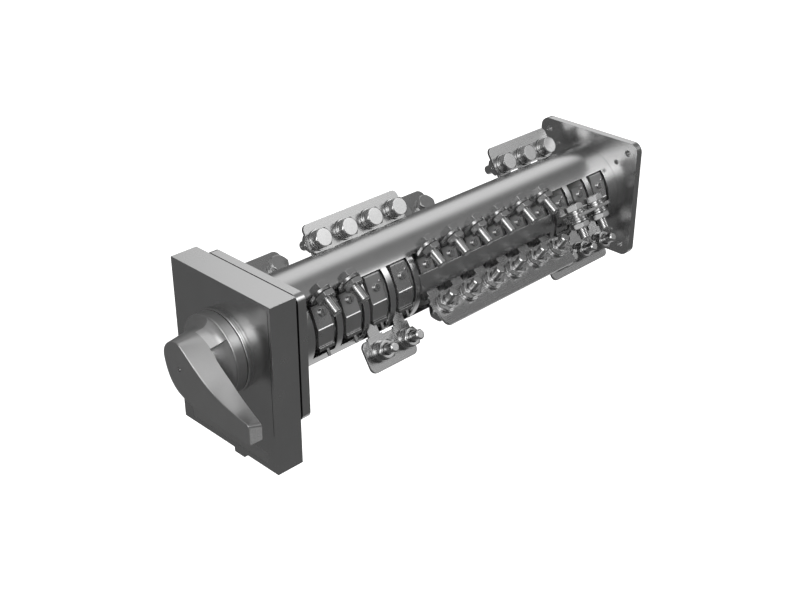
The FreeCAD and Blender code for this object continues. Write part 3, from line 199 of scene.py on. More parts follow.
def surface(name, shade, metallic, rough, cloud=0.10, cloud_scale=38.0, streak=0.0, streak_axis="Y",
            grain=0.0, grain_scale=2600.0, bump=0.15, wear=0.5, wear_width=0.0005, wear_and_highlight_shade=None,
            specular=0.5, coat=0.0, rough_swing=0.08, tint=(1.0, 1.0, 1.0), speck=0.0):
    """Procedural surface: cloudy tone, fine directional streaks or moulded
    grain, small bumps, and brighter smoother edges, partly rubbing wear and partly a painted edge highlight."""
    m = bpy.data.materials.new(name)
    m.use_nodes = True
    t = m.node_tree
    t.nodes.clear()
    out = node(t, "ShaderNodeOutputMaterial", (900, 0))
    bsdf = node(t, "ShaderNodeBsdfPrincipled", (600, 0))
    t.links.new(bsdf.outputs["BSDF"], out.inputs["Surface"])
    bsdf.inputs["Metallic"].default_value = metallic
    bsdf.inputs["Specular IOR Level"].default_value = specular
    if coat:
        bsdf.inputs["Coat Weight"].default_value = coat
        bsdf.inputs["Coat Roughness"].default_value = 0.18
    where = node(t, "ShaderNodeTexCoord", (-1500, 0))

    def scaled(factor, axis=None, along=0.03):
        k = node(t, "ShaderNodeMapping", (-1300, 0))
        s = [factor] * 3
        if axis:
            s["XYZ".index(axis)] = factor * along
        k.inputs["Scale"].default_value = s
        t.links.new(where.outputs["Object"], k.inputs["Vector"])
        return k.outputs["Vector"]

    def noise(vector, scale=1.0, detail=3.0, roughness=0.55):
        k = node(t, "ShaderNodeTexNoise", (-1100, 0))
        k.inputs["Scale"].default_value = scale
        k.inputs["Detail"].default_value = detail
        k.inputs["Roughness"].default_value = roughness
        t.links.new(vector, k.inputs["Vector"])
        return k.outputs["Fac"]

    def ranged(value, low, high, start=0.3, end=0.7):
        k = node(t, "ShaderNodeMapRange", (-800, 0))
        k.inputs["From Min"].default_value = start
        k.inputs["From Max"].default_value = end
        k.inputs["To Min"].default_value = low
        k.inputs["To Max"].default_value = high
        t.links.new(value, k.inputs["Value"])
        return k.outputs["Result"]

    def maths(kind, a, b):
        k = node(t, "ShaderNodeMath", (-600, 0), operation=kind)
        for i, v in enumerate((a, b)):
            if isinstance(v, (int, float)):
                k.inputs[i].default_value = v
            else:
                t.links.new(v, k.inputs[i])
        return k.outputs[0]

    clouds = noise(scaled(cloud_scale), 1.0, 4.0, 0.6)
    tone = ranged(clouds, 1.0 - cloud, 1.0 + cloud)
    roughness = ranged(clouds, rough - rough_swing / 2, rough + rough_swing / 2, 0.25, 0.75)
    height = None
    if streak:
        lines = noise(scaled(2200.0, streak_axis, 0.02), 1.0, 2.0, 0.5)
        tone = maths("MULTIPLY", tone, ranged(lines, 1.0 - streak, 1.0 + streak))
        roughness = maths("ADD", roughness, ranged(lines, -0.8 * streak, 0.8 * streak))
        height = maths("MULTIPLY", lines, 0.6)
    if grain:
        pits = noise(scaled(grain_scale), 1.0, 1.0, 0.5)
        tone = maths("MULTIPLY", tone, ranged(pits, 1.0 - grain, 1.0 + grain))
        g = maths("MULTIPLY", pits, 1.0)
        height = g if height is None else maths("ADD", height, g)
    if speck:
        dots = node(t, "ShaderNodeTexVoronoi", (-1100, -300))
        dots.inputs["Scale"].default_value = 420.0
        t.links.new(where.outputs["Object"], dots.inputs["Vector"])
        tone = maths("MULTIPLY", tone, ranged(dots.outputs["Distance"], 1.0 - speck, 1.0, 0.0, 0.25))
    # Edge wear and painted edge highlight: where the rounded normal leaves the flat one, the base colour is lightened.
    edge = None
    if wear:
        bevel = node(t, "ShaderNodeBevel", (-1100, -500), samples=3)
        bevel.inputs["Radius"].default_value = wear_width
        plain = node(t, "ShaderNodeNewGeometry", (-1100, -700))
        dot = node(t, "ShaderNodeVectorMath", (-900, -600), operation="DOT_PRODUCT")
        t.links.new(bevel.outputs["Normal"], dot.inputs[0])
        t.links.new(plain.outputs["Normal"], dot.inputs[1])
        patch = ranged(noise(scaled(260.0), 1.0, 3.0, 0.6), 0.25, 1.0, 0.35, 0.65)
        edge = maths("MULTIPLY", ranged(dot.outputs["Value"], 1.0, 0.0, 0.80, 0.985), maths("MULTIPLY", patch, wear))
        roughness = maths("SUBTRACT", roughness, maths("MULTIPLY", edge, 0.10))
    base = node(t, "ShaderNodeCombineColor", (-300, 0))
    # Edges take a lighter base colour: rubbing wear, and also a painted highlight along every edge.
    bright = wear_and_highlight_shade if wear_and_highlight_shade is not None else min(1.0, shade * 2.4)
    for i, channel in enumerate(("Red", "Green", "Blue")):
        value = maths("MULTIPLY", tone, shade * tint[i])
        if edge is not None:
            value = maths("ADD", value, maths("MULTIPLY", edge, (bright - shade) * tint[i]))
        t.links.new(value, base.inputs[channel])
    t.links.new(base.outputs["Color"], bsdf.inputs["Base Color"])
    t.links.new(roughness, bsdf.inputs["Roughness"])
    if height is not None and bump:
        b = node(t, "ShaderNodeBump", (300, -300))
        b.inputs["Strength"].default_value = bump
        b.inputs["Distance"].default_value = 0.00006
        t.links.new(height, b.inputs["Height"])
        t.links.new(b.outputs["Normal"], bsdf.inputs["Normal"])
    return m


MAT = {
    "escutcheon_paint": surface("escutcheon_satin", 0.53, 0.97, 0.26, cloud=0.02, grain=0.02, grain_scale=1500.0,
                                bump=0.02, rough_swing=0.04, wear=0.6, wear_and_highlight_shade=0.85),
    "legend_sheet": surface("legend_satin", 0.53, 0.97, 0.21, cloud=0.03, grain=0.02, grain_scale=900.0,
                            bump=0.04, wear=0.4, wear_and_highlight_shade=0.80),
    "handle_moulding": surface("handle_satin", 0.52, 0.90, 0.34, cloud=0.03, grain=0.03, grain_scale=1900.0,
                               bump=0.05, wear=0.7, wear_and_highlight_shade=0.90),
    "strip_moulding": surface("strip_satin", 0.50, 0.90, 0.30, cloud=0.04, grain=0.05, grain_scale=2600.0,
                              bump=0.08, wear=0.3, wear_and_highlight_shade=0.7),
    # Near-black rubber for the gaskets; the gasket also stands in as painted shade filling the panel gap.
    "gasket_rubber": surface("black_rubber_gap_shade", 0.012, 0.0, 0.75, cloud=0.15, grain=0.2, grain_scale=3200.0,
                             bump=0.3, wear=0.0, specular=0.3),
    "plate_steel": surface("plate_satin", 0.53, 0.97, 0.26, cloud=0.02, grain=0.02, grain_scale=1700.0,
                           bump=0.02, rough_swing=0.04, wear=0.6, wear_and_highlight_shade=0.85),
    "tube_steel": surface("tube_satin", 0.54, 0.98, 0.25, cloud=0.02, streak=0.010, streak_axis="Y",
                          bump=0.004, rough_swing=0.03, wear=0.6, wear_and_highlight_shade=0.85),
    "insulator_moulding": surface("block_satin", 0.50, 0.92, 0.28, cloud=0.05, grain=0.05, grain_scale=2400.0,
                                  bump=0.08, wear=0.6, wear_and_highlight_shade=0.85),
    "housing_steel": surface("machined_steel", 0.50, 0.97, 0.30, cloud=0.06, streak=0.05, streak_axis="Y",
                             bump=0.08, wear=0.4, wear_and_highlight_shade=0.8),
    "tinned_copper": surface("tinned_bar", 0.43, 0.98, 0.27, cloud=0.02, streak=0.010, streak_axis="Y",
                             bump=0.006, rough_swing=0.03, wear=0.7, wear_and_highlight_shade=0.88),
    "zinc_fasteners": surface("zinc_bright", 0.53, 0.98, 0.21, cloud=0.04, cloud_scale=160.0, grain=0.02,
                              grain_scale=1800.0, bump=0.03, wear=0.5, wear_and_highlight_shade=0.85),
    "bearing_bronze": surface("bush_metal", 0.50, 0.97, 0.30, cloud=0.08, grain=0.06, bump=0.10, wear=0.3,
                              wear_and_highlight_shade=0.8),
}
TIP = surface("tip_moulded", 0.50, 0.15, 0.45, cloud=0.05, grain=0.16, grain_scale=1300.0, bump=0.10, wear=0.5,
              wear_and_highlight_shade=0.8)
# Lighter copy of the handle moulding for the neck hollow under the lever: painted light on that recess.
HOLLOW_PAINTED_LIGHT = surface("hollow_painted_light", 0.72, 0.75, 0.36, cloud=0.05, grain=0.04, grain_scale=1500.0, bump=0.05, wear=0.4,
                 wear_and_highlight_shade=0.9)
# Pale non-metal moulding for the drums and partition discs; the pale colour also stands in as painted light in the gaps
# between decks.
INNER_GAP_LIGHT = surface("inner_moulding_gap_light", 0.62, 0.0, 0.42, cloud=0.06, grain=0.06, grain_scale=1500.0, bump=0.06, wear=0.4,
                wear_and_highlight_shade=0.8)
SLOT_OF = {s["node"]: s["material_slot"] for s in frame["record"]["subparts"] if "material_slot" in s}


def wear_it(thing, material):
    thing.data.materials.clear()
    thing.data.materials.append(material)


# The drums and partition discs take the pale moulding that lifts the dark gaps: painted light.
for cad_name, cad in NODES.items():
    wear_it(cad, INNER_GAP_LIGHT if cad_name in ("partition_discs", "contact_drums") else MAT[SLOT_OF[cad_name]])


# ------------------------------------------------------------------ finer copies of the CAD shapes
def finish_edges(thing, width, segments=2, angle=28.0):
    """True rounded edges, with flat faces kept flat."""
    mod = thing.modifiers.new("rounded_edges", "BEVEL")
    mod.width = width
    mod.segments = segments
    mod.limit_method = "ANGLE"
    mod.angle_limit = math.radians(angle)
    mod.use_clamp_overlap = True
    mod.miter_outer = "MITER_ARC"
    even = thing.modifiers.new("flat_faces", "WEIGHTED_NORMAL")
    even.mode = "FACE_AREA"
    even.weight = 100
    even.keep_sharp = True
    return thing


def refined(node_name, width, segments=2, angle=28.0, material=None):
    """A copy of a CAD node with merged faces and rounded edges, in its place."""
    source = NODES[node_name]
    bm = bmesh.new()
    bm.from_mesh(source.data)
    bmesh.ops.remove_doubles(bm, verts=bm.verts, dist=2e-6)
    bmesh.ops.dissolve_limit(bm, angle_limit=math.radians(0.4), verts=bm.verts, edges=bm.edges)
    mesh = bpy.data.meshes.new(node_name + "_finished")
    bm.to_mesh(mesh)
    bm.free()
    mesh.shade_smooth()
    thing = bpy.data.objects.new(node_name + "_finished", mesh)
    scene.collection.objects.link(thing)
    wear_it(thing, material or MAT[SLOT_OF[node_name]])
    finish_edges(thing, width, segments, angle)
    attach(thing, source["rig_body"])
    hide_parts(node_name)
    return thing


def outer_edges(thing, planes, near=0.00004):
    """Give rounding only to the edges where two of the listed planes meet."""
    mesh = thing.data
    weight = mesh.attributes.new("bevel_weight_edge", "FLOAT", "EDGE")
    for e in mesh.edges:
        both = 0
        for axis, value in planes:
            if all(abs(mesh.vertices[i].co[axis] - value) < near for i in e.vertices):
                both += 1
        weight.data[e.index].value = 1.0 if both >= 2 else 0.0
    mesh.set_sharp_from_angle(angle=math.radians(25.0))
    for e in mesh.edges:
        if weight.data[e.index].value > 0.5:
            e.use_edge_sharp = False
    for mod in thing.modifiers:
        if mod.type == "BEVEL":
            mod.limit_method = "WEIGHT"


shell = refined("front_escutcheon", 0.0004, 3)
outer_edges(shell, [(0, -0.065), (0, 0.065), (1, -0.033), (1, -0.0058), (2, 0.0645), (2, -0.0955)])
plate = refined("legend_plate", 0.0001, 2, material=MAT["legend_sheet"])
outer_edges(plate, [(0, 0.0615), (1, -0.033)])
refined("label_strip", 0.00005, 2)
refined("bottom_pull_tab", 0.0004, 2)
refined("knob_base_ring", 0.0003, 2)
refined("front_flange", 0.0005, 3)
refined("rear_plate", 0.0005, 3)
for name in ("contact_blocks_plain", "contact_blocks_tall", "contact_blocks_far", "contact_blocks_low_slot", "contact_blocks_high_slot"):
    refined(name, 0.00045, 3, angle=20.0)
for name in ("near_upper_tabs", "far_upper_tabs", "near_lower_tabs", "long_busbar_tabs", "rear_link_tabs",
             "far_link_tabs"):
    refined(name, 0.0003, 2)
for name in ("far_front_busbar", "far_rear_busbar", "near_front_bracket", "near_rear_busbar",
             "near_long_busbar", "rear_link_bar", "far_front_link", "far_mid_link"):
    refined(name, 0.0005, 3)
for name in ("contact_leg_strips", "support_strips"):
    refined(name, 0.0003, 2)
for name in ("clamp_screws", "marker_screws"):
    refined(name, 0.00018, 2)
refined("plain_washers", 0.0003, 2)
if "near_window_cover" in NODES:
    refined("near_window_cover", 0.0004, 3)


# ------------------------------------------------------------------ the tube in one piece
def tube_mesh():
    """Round tube with a pair of windows at each deck, outer and inner skins
    joined at the window sides and at both ends."""
    outer_r, inner_r, high = 0.044, 0.0405, 0.03165
    outer_edge, inner_edge = math.degrees(math.asin(high / outer_r)), math.degrees(math.asin(high / inner_r))

    def angles(edge, skirt):
        out = []
        for start, end, count in ((-edge, -skirt, 8), (-skirt, edge, 18), (edge, 180 - edge, 34), (180 - edge, 180 + edge, 26), (180 + edge, 360 - edge, 34)):
            out += [start + (end - start) * k / count for k in range(count)]
        return out

    skirt = 0.0196
    skins = [(outer_r, angles(outer_edge, math.degrees(math.asin(skirt / outer_r)))),
             (inner_r, angles(inner_edge, math.degrees(math.asin(skirt / inner_r))))]
    in_window = [True] * 26 + [False] * 34 + [True] * 26 + [False] * 34
    n = len(in_window)
    levels = [0.0087]
    for deck in range(13):
        middle = 0.044 + 0.032 * deck
        levels += [middle - 0.0126, middle + 0.0126]
    levels.append(0.456)
    vertices = []
    for radius, ring in skins:
        for y in levels:
            vertices += [(radius * math.cos(math.radians(a)), y, radius * math.sin(math.radians(a))) for a in ring]
    rows = len(levels)

    def at(skin, level, j):
        return skin * rows * n + level * n + j % n

    def open_cell(level, j):
        if level in (1, 3) and j % n < 8:
            return False
        return level % 2 == 1 and level < rows - 1 and in_window[j % n]

    faces = []
    for level in range(rows - 1):
        for j in range(n):
            if open_cell(level, j):
                continue
            faces.append((at(0, level, j), at(0, level + 1, j), at(0, level + 1, j + 1), at(0, level, j + 1)))
            faces.append((at(1, level, j), at(1, level, j + 1), at(1, level + 1, j + 1), at(1, level + 1, j)))
            if open_cell(level, j - 1):
                faces.append((at(0, level, j), at(1, level, j), at(1, level + 1, j), at(0, level + 1, j)))
            if open_cell(level, j + 1):
                faces.append((at(0, level, j + 1), at(0, level + 1, j + 1), at(1, level + 1, j + 1), at(1, level, j + 1)))
            if level == 0 or open_cell(level - 1, j):
                faces.append((at(0, level, j), at(0, level, j + 1), at(1, level, j + 1), at(1, level, j)))
            if level == rows - 2 or open_cell(level + 1, j):
                faces.append((at(0, level + 1, j), at(1, level + 1, j), at(1, level + 1, j + 1), at(0, level + 1, j + 1)))
    return vertices, faces


tube = build("slotted_tube_whole", *tube_mesh())
wear_it(tube, MAT["tube_steel"])
finish_edges(tube, 0.00035, 2)
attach(tube, "switch_frame")
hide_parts("tube_front_collar", "tube_rear_collar", "tube_upper_shell", "tube_lower_shell", "tube_side_ribs",
            "tube_window_skirts")

# ------------------------------------------------------------------ terminal fasteners
SA, CA = math.sin(math.radians(57.0)), math.cos(math.radians(57.0))
ROWS = {
    "near_upper": (Vector((CA, 0, SA)), Vector((SA, 0, -CA)), 55.0),
    "far_upper": (Vector((-CA, 0, SA)), Vector((-SA, 0, -CA)), 55.0),
    "near_lower": (Vector((CA, 0, -SA)), Vector((SA, 0, CA)), 59.0),
    "long_bus": (Vector((SA, 0, -CA)), Vector((CA, 0, SA)), 58.0),
    "rear_link": (Vector((SA, 0, CA)), Vector((CA, 0, -SA)), 58.0),
    "far_link": (Vector((-SA, 0, CA)), Vector((-CA, 0, -SA)), 58.0),
}
DECKS = {
    "near_upper": (0, 1, 4, 5, 6, 7, 8, 9),
    "far_upper": (2, 3, 4, 5, 10, 11, 12),
    "near_lower": (2, 3, 10, 11, 12),
    "long_bus": (4, 5, 6, 7, 8, 9),
    "rear_link": (10, 11),
    "far_link": (0, 1, 6, 7),
}
HEAD_AT = {"near_upper": 10.4, "far_upper": 4.4, "near_lower": 6.2, "long_bus": 14.4, "rear_link": 15.8, "far_link": 15.8}
NUT_AT = {"near_upper": 13.5, "far_upper": 17.2, "near_lower": 18.7, "long_bus": 26.8, "rear_link": 28.2, "far_link": 28.2}
SPRING_AT = {"far_upper": (4.4,), "near_lower": (16.4,), "long_bus": (14.4,), "rear_link": (15.8,), "far_link": (15.8,)}


def row_matrix(row, deck, out, level):
    er, es, _ = ROWS[row]
    ey = es.cross(er)
    p = er * out + es * level + Vector((0, 44.0 + 32.0 * deck, 0))
    return Matrix(((er.x, ey.x, es.x, p.x * MM), (er.y, ey.y, es.y, p.y * MM), (er.z, ey.z, es.z, p.z * MM), (0, 0, 0, 1)))


def ring_surface(rings, closed_start=True, closed_end=True):
    """Faces between closed rings of equal count, with end caps."""
    n = len(rings[0])
    vertices = [v for ring in rings for v in ring]
    faces = []
    for i in range(len(rings) - 1):
        for j in range(n):
            k = (j + 1) % n
            faces.append((i * n + j, i * n + k, (i + 1) * n + k, (i + 1) * n + j))
    if closed_start:
        faces.append(tuple(reversed(range(n))))
    if closed_end:
        faces.append(tuple((len(rings) - 1) * n + j for j in range(n)))
    return vertices, faces


def hex_radius(angle, flats):
    a = (math.degrees(angle) + 30.0) % 60.0 - 30.0
    return flats / 2 / math.cos(math.radians(a))


def hex_ring(count, radius, z, flats=17.0, chamfer=None, up=1.0):
    """Ring on a hexagon with corners on local Y. With chamfer, z follows the
    turned cone that takes the corners off."""
    pts = []
    for j in range(count):
        a = 2 * math.pi * j / count
        r = hex_radius(a, flats) if radius is None else radius
        drop = 0.0
        if chamfer is not None:
            drop = max(0.0, (r - chamfer[0]) / (chamfer[1] - chamfer[0])) * chamfer[2]
        pts.append(Vector((r * math.cos(a), r * math.sin(a), z - up * drop)))
    return pts


CONE = (8.1, 10.2, 1.3)
SIDES = 48
CREST = 4.8


def circle_ring(count, radius, z):
    return [Vector((radius * math.cos(2 * math.pi * j / count), radius * math.sin(2 * math.pi * j / count), z))
            for j in range(count)]


def bolt_piece(length, thread_from, thread_pitch=1.5, depth=0.11):
    """Hexagon head with a turned chamfer and washer face, and a stud with a
    rolled helical thread ending in a chamfered tip."""
    rings = [circle_ring(SIDES, 7.4, -6.4), circle_ring(SIDES, 8.1, -6.4),
             hex_ring(SIDES, None, -6.4, chamfer=CONE, up=-1.0),
             hex_ring(SIDES, None, -0.45), circle_ring(SIDES, 8.2, -0.45), circle_ring(SIDES, 8.0, 0.0),
             circle_ring(SIDES, 5.0, 0.0), circle_ring(SIDES, 5.0, thread_from - 0.6), circle_ring(SIDES, CREST, thread_from)]
    z = thread_from
    step = thread_pitch / 6.0
    tip = length - 1.1
    while z < length - 1e-6:
        z = min(length, z + step)
        ring = []
        for j in range(SIDES):
            a = 2 * math.pi * j / SIDES
            phase = (z / thread_pitch - a / (2 * math.pi)) % 1.0
            wave = 0.5 - 0.5 * math.cos(2 * math.pi * phase)
            wave = wave ** 0.6
            r = CREST - depth * (1.0 - wave) * min(1.0, (z - thread_from) / 1.5)
            limit = CREST if z < tip else CREST - 1.1 * (z - tip) / (length - tip)
            r = min(r, limit)
            ring.append(Vector((r * math.cos(a), r * math.sin(a), z)))
        rings.append(ring)
    rings.append(circle_ring(SIDES, 3.1, length))
    return ring_surface(rings)


def nut_piece(height):
    rings = [circle_ring(SIDES, 5.15, 1.0), circle_ring(SIDES, 5.7, 0.0), circle_ring(SIDES, 8.1, 0.0),
             hex_ring(SIDES, None, 0.0, chamfer=CONE, up=-1.0),
             hex_ring(SIDES, None, height, chamfer=CONE, up=1.0),
             circle_ring(SIDES, 8.1, height), circle_ring(SIDES, 5.7, height), circle_ring(SIDES, 5.15, height - 0.8),
             circle_ring(SIDES, 5.15, 1.0)]
    vertices, faces = ring_surface(rings[:-1], False, False)
    n = SIDES
    last = len(rings) - 2
    for j in range(n):
        k = (j + 1) % n
        faces.append((last * n + j, last * n + k, k, j))
    return vertices, faces


def spring_washer_piece(inner=5.3, outer=9.0, thick=2.15, gap=9.0, lift=0.0, count=44):
    """Split ring of square section with slanted ends."""
    vertices, faces = [], []
    start, end = math.radians(gap / 2), math.radians(360 - gap / 2)
    for i in range(count + 1):
        f = i / count
        for r, z in ((inner, 0.0), (outer, 0.0), (outer, thick), (inner, thick)):
            slant = math.radians(7.0) * (z / thick - 0.5) * (1 if i in (0, count) else 0)
            a = start + (end - start) * f + slant
            vertices.append(Vector((r * math.cos(a), r * math.sin(a), z + lift * f)))
    for i in range(count):
        for j in range(4):
            k = (j + 1) % 4
            faces.append((i * 4 + j, (i + 1) * 4 + j, (i + 1) * 4 + k, i * 4 + k))
    faces.append((0, 1, 2, 3))
    faces.append(tuple(count * 4 + j for j in (3, 2, 1, 0)))
    return vertices, faces


def placed(name, piece_of, places, material, replaced, width, segments=2, angle=24.0):
    """One object made of placed copies, standing for a CAD node."""
    vertices, faces = [], []
    for key, matrix in places:
        vs, fs = piece_of(key)
        base = len(vertices)
        vertices += [matrix @ (v * MM) for v in vs]
        faces += [tuple(base + i for i in f) for f in fs]
    thing = build(name, vertices, faces)
    bm = bmesh.new()
    bm.from_mesh(thing.data)
    bmesh.ops.recalc_face_normals(bm, faces=bm.faces)
    bm.to_mesh(thing.data)
    bm.free()
    thing.data.shade_smooth()
    wear_it(thing, material)
    if width:
        finish_edges(thing, width, segments, angle)
    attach(thing, "switch_frame")
    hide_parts(replaced)
    return thing


zinc = MAT["zinc_fasteners"]
made = {}


def cached(make):
    def give(key):
        if key not in made:
            made[key] = make(key)
        return made[key]
    return give


bolt_of = cached(lambda key: bolt_piece(key[1], key[2]))
nut_of = cached(lambda key: nut_piece(5.8))
spring_of = cached(lambda key: spring_washer_piece())
long_places, short_places, nut_places, spring_places = [], [], [], []
for row in ROWS:
    reach = ROWS[row][2]
    for deck in DECKS[row]:
        start = NUT_AT[row] - HEAD_AT[row] + 5.6
        if row == "near_upper":
            short_places.append((("bolt", 24.1, start), row_matrix(row, deck, reach, HEAD_AT[row])))
        else:
            long_places.append((("bolt", 30.0, start), row_matrix(row, deck, reach, HEAD_AT[row])))
        nut_places.append((("nut",), row_matrix(row, deck, reach, NUT_AT[row])))
        for level in SPRING_AT.get(row, ()):
            spring_places.append((("spring",), row_matrix(row, deck, reach, level)))
placed("terminal_bolts_long_threaded", bolt_of, long_places, zinc, "terminal_bolts_long", 0.0002)
placed("terminal_bolts_short_threaded", bolt_of, short_places, zinc, "terminal_bolts_short", 0.0002)
placed("terminal_nuts_turned", nut_of, nut_places, zinc, "terminal_nuts", 0.0002)
placed("spring_washers_split", spring_of, spring_places, zinc, "spring_washers", 0.0002)

# ------------------------------------------------------------------ lips along the near blocks
def prism(points, y0, y1):
    n = len(points)
    vertices = [Vector((x, y0, z)) for x, z in points] + [Vector((x, y1, z)) for x, z in points]
    faces = [tuple(range(n)), tuple(reversed(range(n, 2 * n)))]
    faces += [(i, n + i, n + (i + 1) % n, (i + 1) % n) for i in range(n)]
    return vertices, faces


def lips():
    section = [(42.2, 7.3), (43.0, 7.0), (43.42, 7.32), (43.52, 7.62), (43.44, 7.90), (42.86, 8.56), (42.60, 8.66), (42.2, 8.6)]
    vertices, faces = [], []
    for deck in (0, 1, 2, 3, 10, 11, 12):
        middle = 44.0 + 32.0 * deck
        vs, fs = prism(section, middle - 8.3, middle + 8.3)
        base = len(vertices)
        vertices += [v * MM for v in vs]
        faces += [tuple(base + i for i in f) for f in fs]
    return vertices, faces


lip = build("block_face_lips", *lips(), smooth=False)
bm = bmesh.new()
bm.from_mesh(lip.data)
bmesh.ops.recalc_face_normals(bm, faces=bm.faces)
bm.to_mesh(lip.data)
bm.free()
wear_it(lip, MAT["insulator_moulding"])
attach(lip, "switch_frame")


# ------------------------------------------------------------------ handle
FRONT_OUTLINE = [(88.4, 10.3), (79.0, 8.9), (68.0, 7.7), (57.0, 7.1), (46.0, 7.5), (35.0, 9.0), (23.5, 12.2), (12.0, 16.4),
                 (2.0, 20.6), (-6.0, 22.9), (-14.2, 19.8), (-20.5, 12.7), (-22.4, 4.4), (-19.6, -4.2), (-14.6, -12.4),
                 (-7.2, -19.8), (1.0, -23.8), (10.0, -25.0), (28.5, -23.6), (61.3, -16.6), (93.4, -8.0)]
BACK_OUTLINE = [(91.4, -0.8), (80.5, 4.6), (68.5, 10.2), (57.0, 15.8), (46.0, 21.0), (35.0, 24.0), (25.0, 26.4), (17.0, 28.6),
                (8.0, 30.2), (-3.0, 29.6), (-14.0, 25.6), (-22.6, 16.8), (-27.4, 4.4), (-25.6, -8.0), (-20.0, -18.0),
                (-12.0, -25.0), (-1.0, -28.6), (10.0, -29.4), (28.5, -26.4), (61.3, -18.4), (93.5, -9.6)]


def smooth_curve(points, steps):
    """Natural cubic spline through the points by chord length."""
    n = len(points)
    t = [0.0]
    for i in range(1, n):
        t.append(t[-1] + math.hypot(points[i][0] - points[i - 1][0], points[i][1] - points[i - 1][1]))
    h = [t[i + 1] - t[i] for i in range(n - 1)]
    axes = []
    for axis in (0, 1):
        y = [p[axis] for p in points]
        alpha = [0.0] + [3 * ((y[i + 1] - y[i]) / h[i] - (y[i] - y[i - 1]) / h[i - 1]) for i in range(1, n - 1)]
        mu, z = [0.0], [0.0]
        for i in range(1, n - 1):
            size = 2 * (t[i + 1] - t[i - 1]) - h[i - 1] * mu[i - 1]
            mu.append(h[i] / size)
            z.append((alpha[i] - h[i - 1] * z[i - 1]) / size)
        c = [0.0] * n
        for i in range(n - 2, 0, -1):
            c[i] = z[i] - mu[i] * c[i + 1]
        axes.append((y, c))
    out = []
    for i in range(n - 1):
        for k in range(steps):
            x = h[i] * k / steps
            point = []
            for y, c in axes:
                b = (y[i + 1] - y[i]) / h[i] - h[i] * (c[i + 1] + 2 * c[i]) / 3
                point.append(y[i] + b * x + c[i] * x * x + (c[i + 1] - c[i]) / (3 * h[i]) * x ** 3)
            out.append(tuple(point))
    return out + [tuple(points[-1])]


def moulded_ring(points, cuts=(2.0, 2.9)):
    """Closed ring of the outline with the two corners of the tip rounded."""
    line = smooth_curve(points, 6)
    ring = []
    for cut, corner, before, after in ((cuts[0], line[-1], line[-2], line[0]), (cuts[1], line[0], line[-1], line[1])):
        c = Vector(corner)
        u = (Vector(before) - c).normalized()
        w = (Vector(after) - c).normalized()
        for step in range(9):
            f = step / 8
            ring.append((c + u * cut) * (1 - f) ** 2 + c * 2 * f * (1 - f) + (c + w * cut) * f ** 2)
    return ring + [Vector(p) for p in line[3:-1]]


def moulding_mesh():
    front, rear = moulded_ring(FRONT_OUTLINE), moulded_ring(BACK_OUTLINE)
    n = len(front)
    front_y, rear_y, round_ = -78.0, -47.0, 0.8

    def at(y, inset, fillet=0.0):
        f = (y - front_y) / (rear_y - front_y)
        ring = [a * (1 - f) + b * f for a, b in zip(front, rear)]
        out = []
        for i in range(n):
            d = (ring[(i + 1) % n] - ring[i - 1]).normalized()
            p = ring[i] + Vector((-d.y, d.x)) * (inset - max(0.0, min(fillet, 36.2 - ring[i].length)))
            out.append(Vector((p.x, y, p.y)))
        return out

    rings = []
    for k in range(6):
        a = math.radians(90 * k / 5)
        rings.append(at(front_y + round_ * (1 - math.cos(a)), round_ * (1 - math.sin(a))))
    blend = 6.0
    for k in range(1, 13):
        rings.append(at(front_y + round_ + (rear_y - blend - front_y - round_) * k / 12, 0.0))
    for k in range(1, 13):
        a = math.radians(90 * k / 12)
        rings.append(at(rear_y - blend * (1 - math.sin(a)), 0.0, blend * (1 - math.cos(a))))
    rings.append([Vector((p.x * 0.97, p.y + 0.5, p.z * 0.97)) for p in rings[-1]])
    return ring_surface(rings)


def cut_block(points, z0, z1):
    n = len(points)
    vertices = [Vector((x, y, z0)) for x, y in points] + [Vector((x, y, z1)) for x, y in points]
    faces = [tuple(range(n)), tuple(reversed(range(n, 2 * n)))]
    faces += [(i, n + i, n + (i + 1) % n, (i + 1) % n) for i in range(n)]
    return vertices, faces


def turned(profile, count=144):
    """Solid turned about Y from (radius, y) points with both ends on the axis."""
    vertices = [Vector((0, profile[0][1], 0))]
    for r, y in profile[1:-1]:
        vertices += [Vector((r * math.cos(2 * math.pi * j / count), y, r * math.sin(2 * math.pi * j / count)))
                     for j in range(count)]
    vertices.append(Vector((0, profile[-1][1], 0)))
    faces = [(0, 1 + (j + 1) % count, 1 + j) for j in range(count)]
    rows = len(profile) - 2
    for i in range(rows - 1):
        for j in range(count):
            k = (j + 1) % count
            faces.append((1 + i * count + j, 1 + i * count + k, 1 + (i + 1) * count + k, 1 + (i + 1) * count + j))
    last = 1 + (rows - 1) * count
    faces += [(last + j, last + (j + 1) % count, len(vertices) - 1) for j in range(count)]
    return vertices, faces


DOWN = Matrix.Rotation(math.radians(15.0), 3, "Y")


def shape(name, piece):
    vertices, faces = piece
    thing = build(name, [(DOWN @ v) * MM for v in vertices], faces, smooth=False)
    work = bmesh.new()
    work.from_mesh(thing.data)
    bmesh.ops.recalc_face_normals(work, faces=work.faces)
    work.to_mesh(thing.data)
    work.free()
    return thing


def combine(base, tool, operation):
    mod = base.modifiers.new("shape", "BOOLEAN")
    mod.operation = operation
    mod.solver = "EXACT"
    mod.object = tool
    bpy.context.view_layer.update()
    solid = bpy.data.meshes.new_from_object(base.evaluated_get(bpy.context.evaluated_depsgraph_get()))
    base.modifiers.clear()
    base.data = solid
    bpy.data.objects.remove(tool, do_unlink=True)


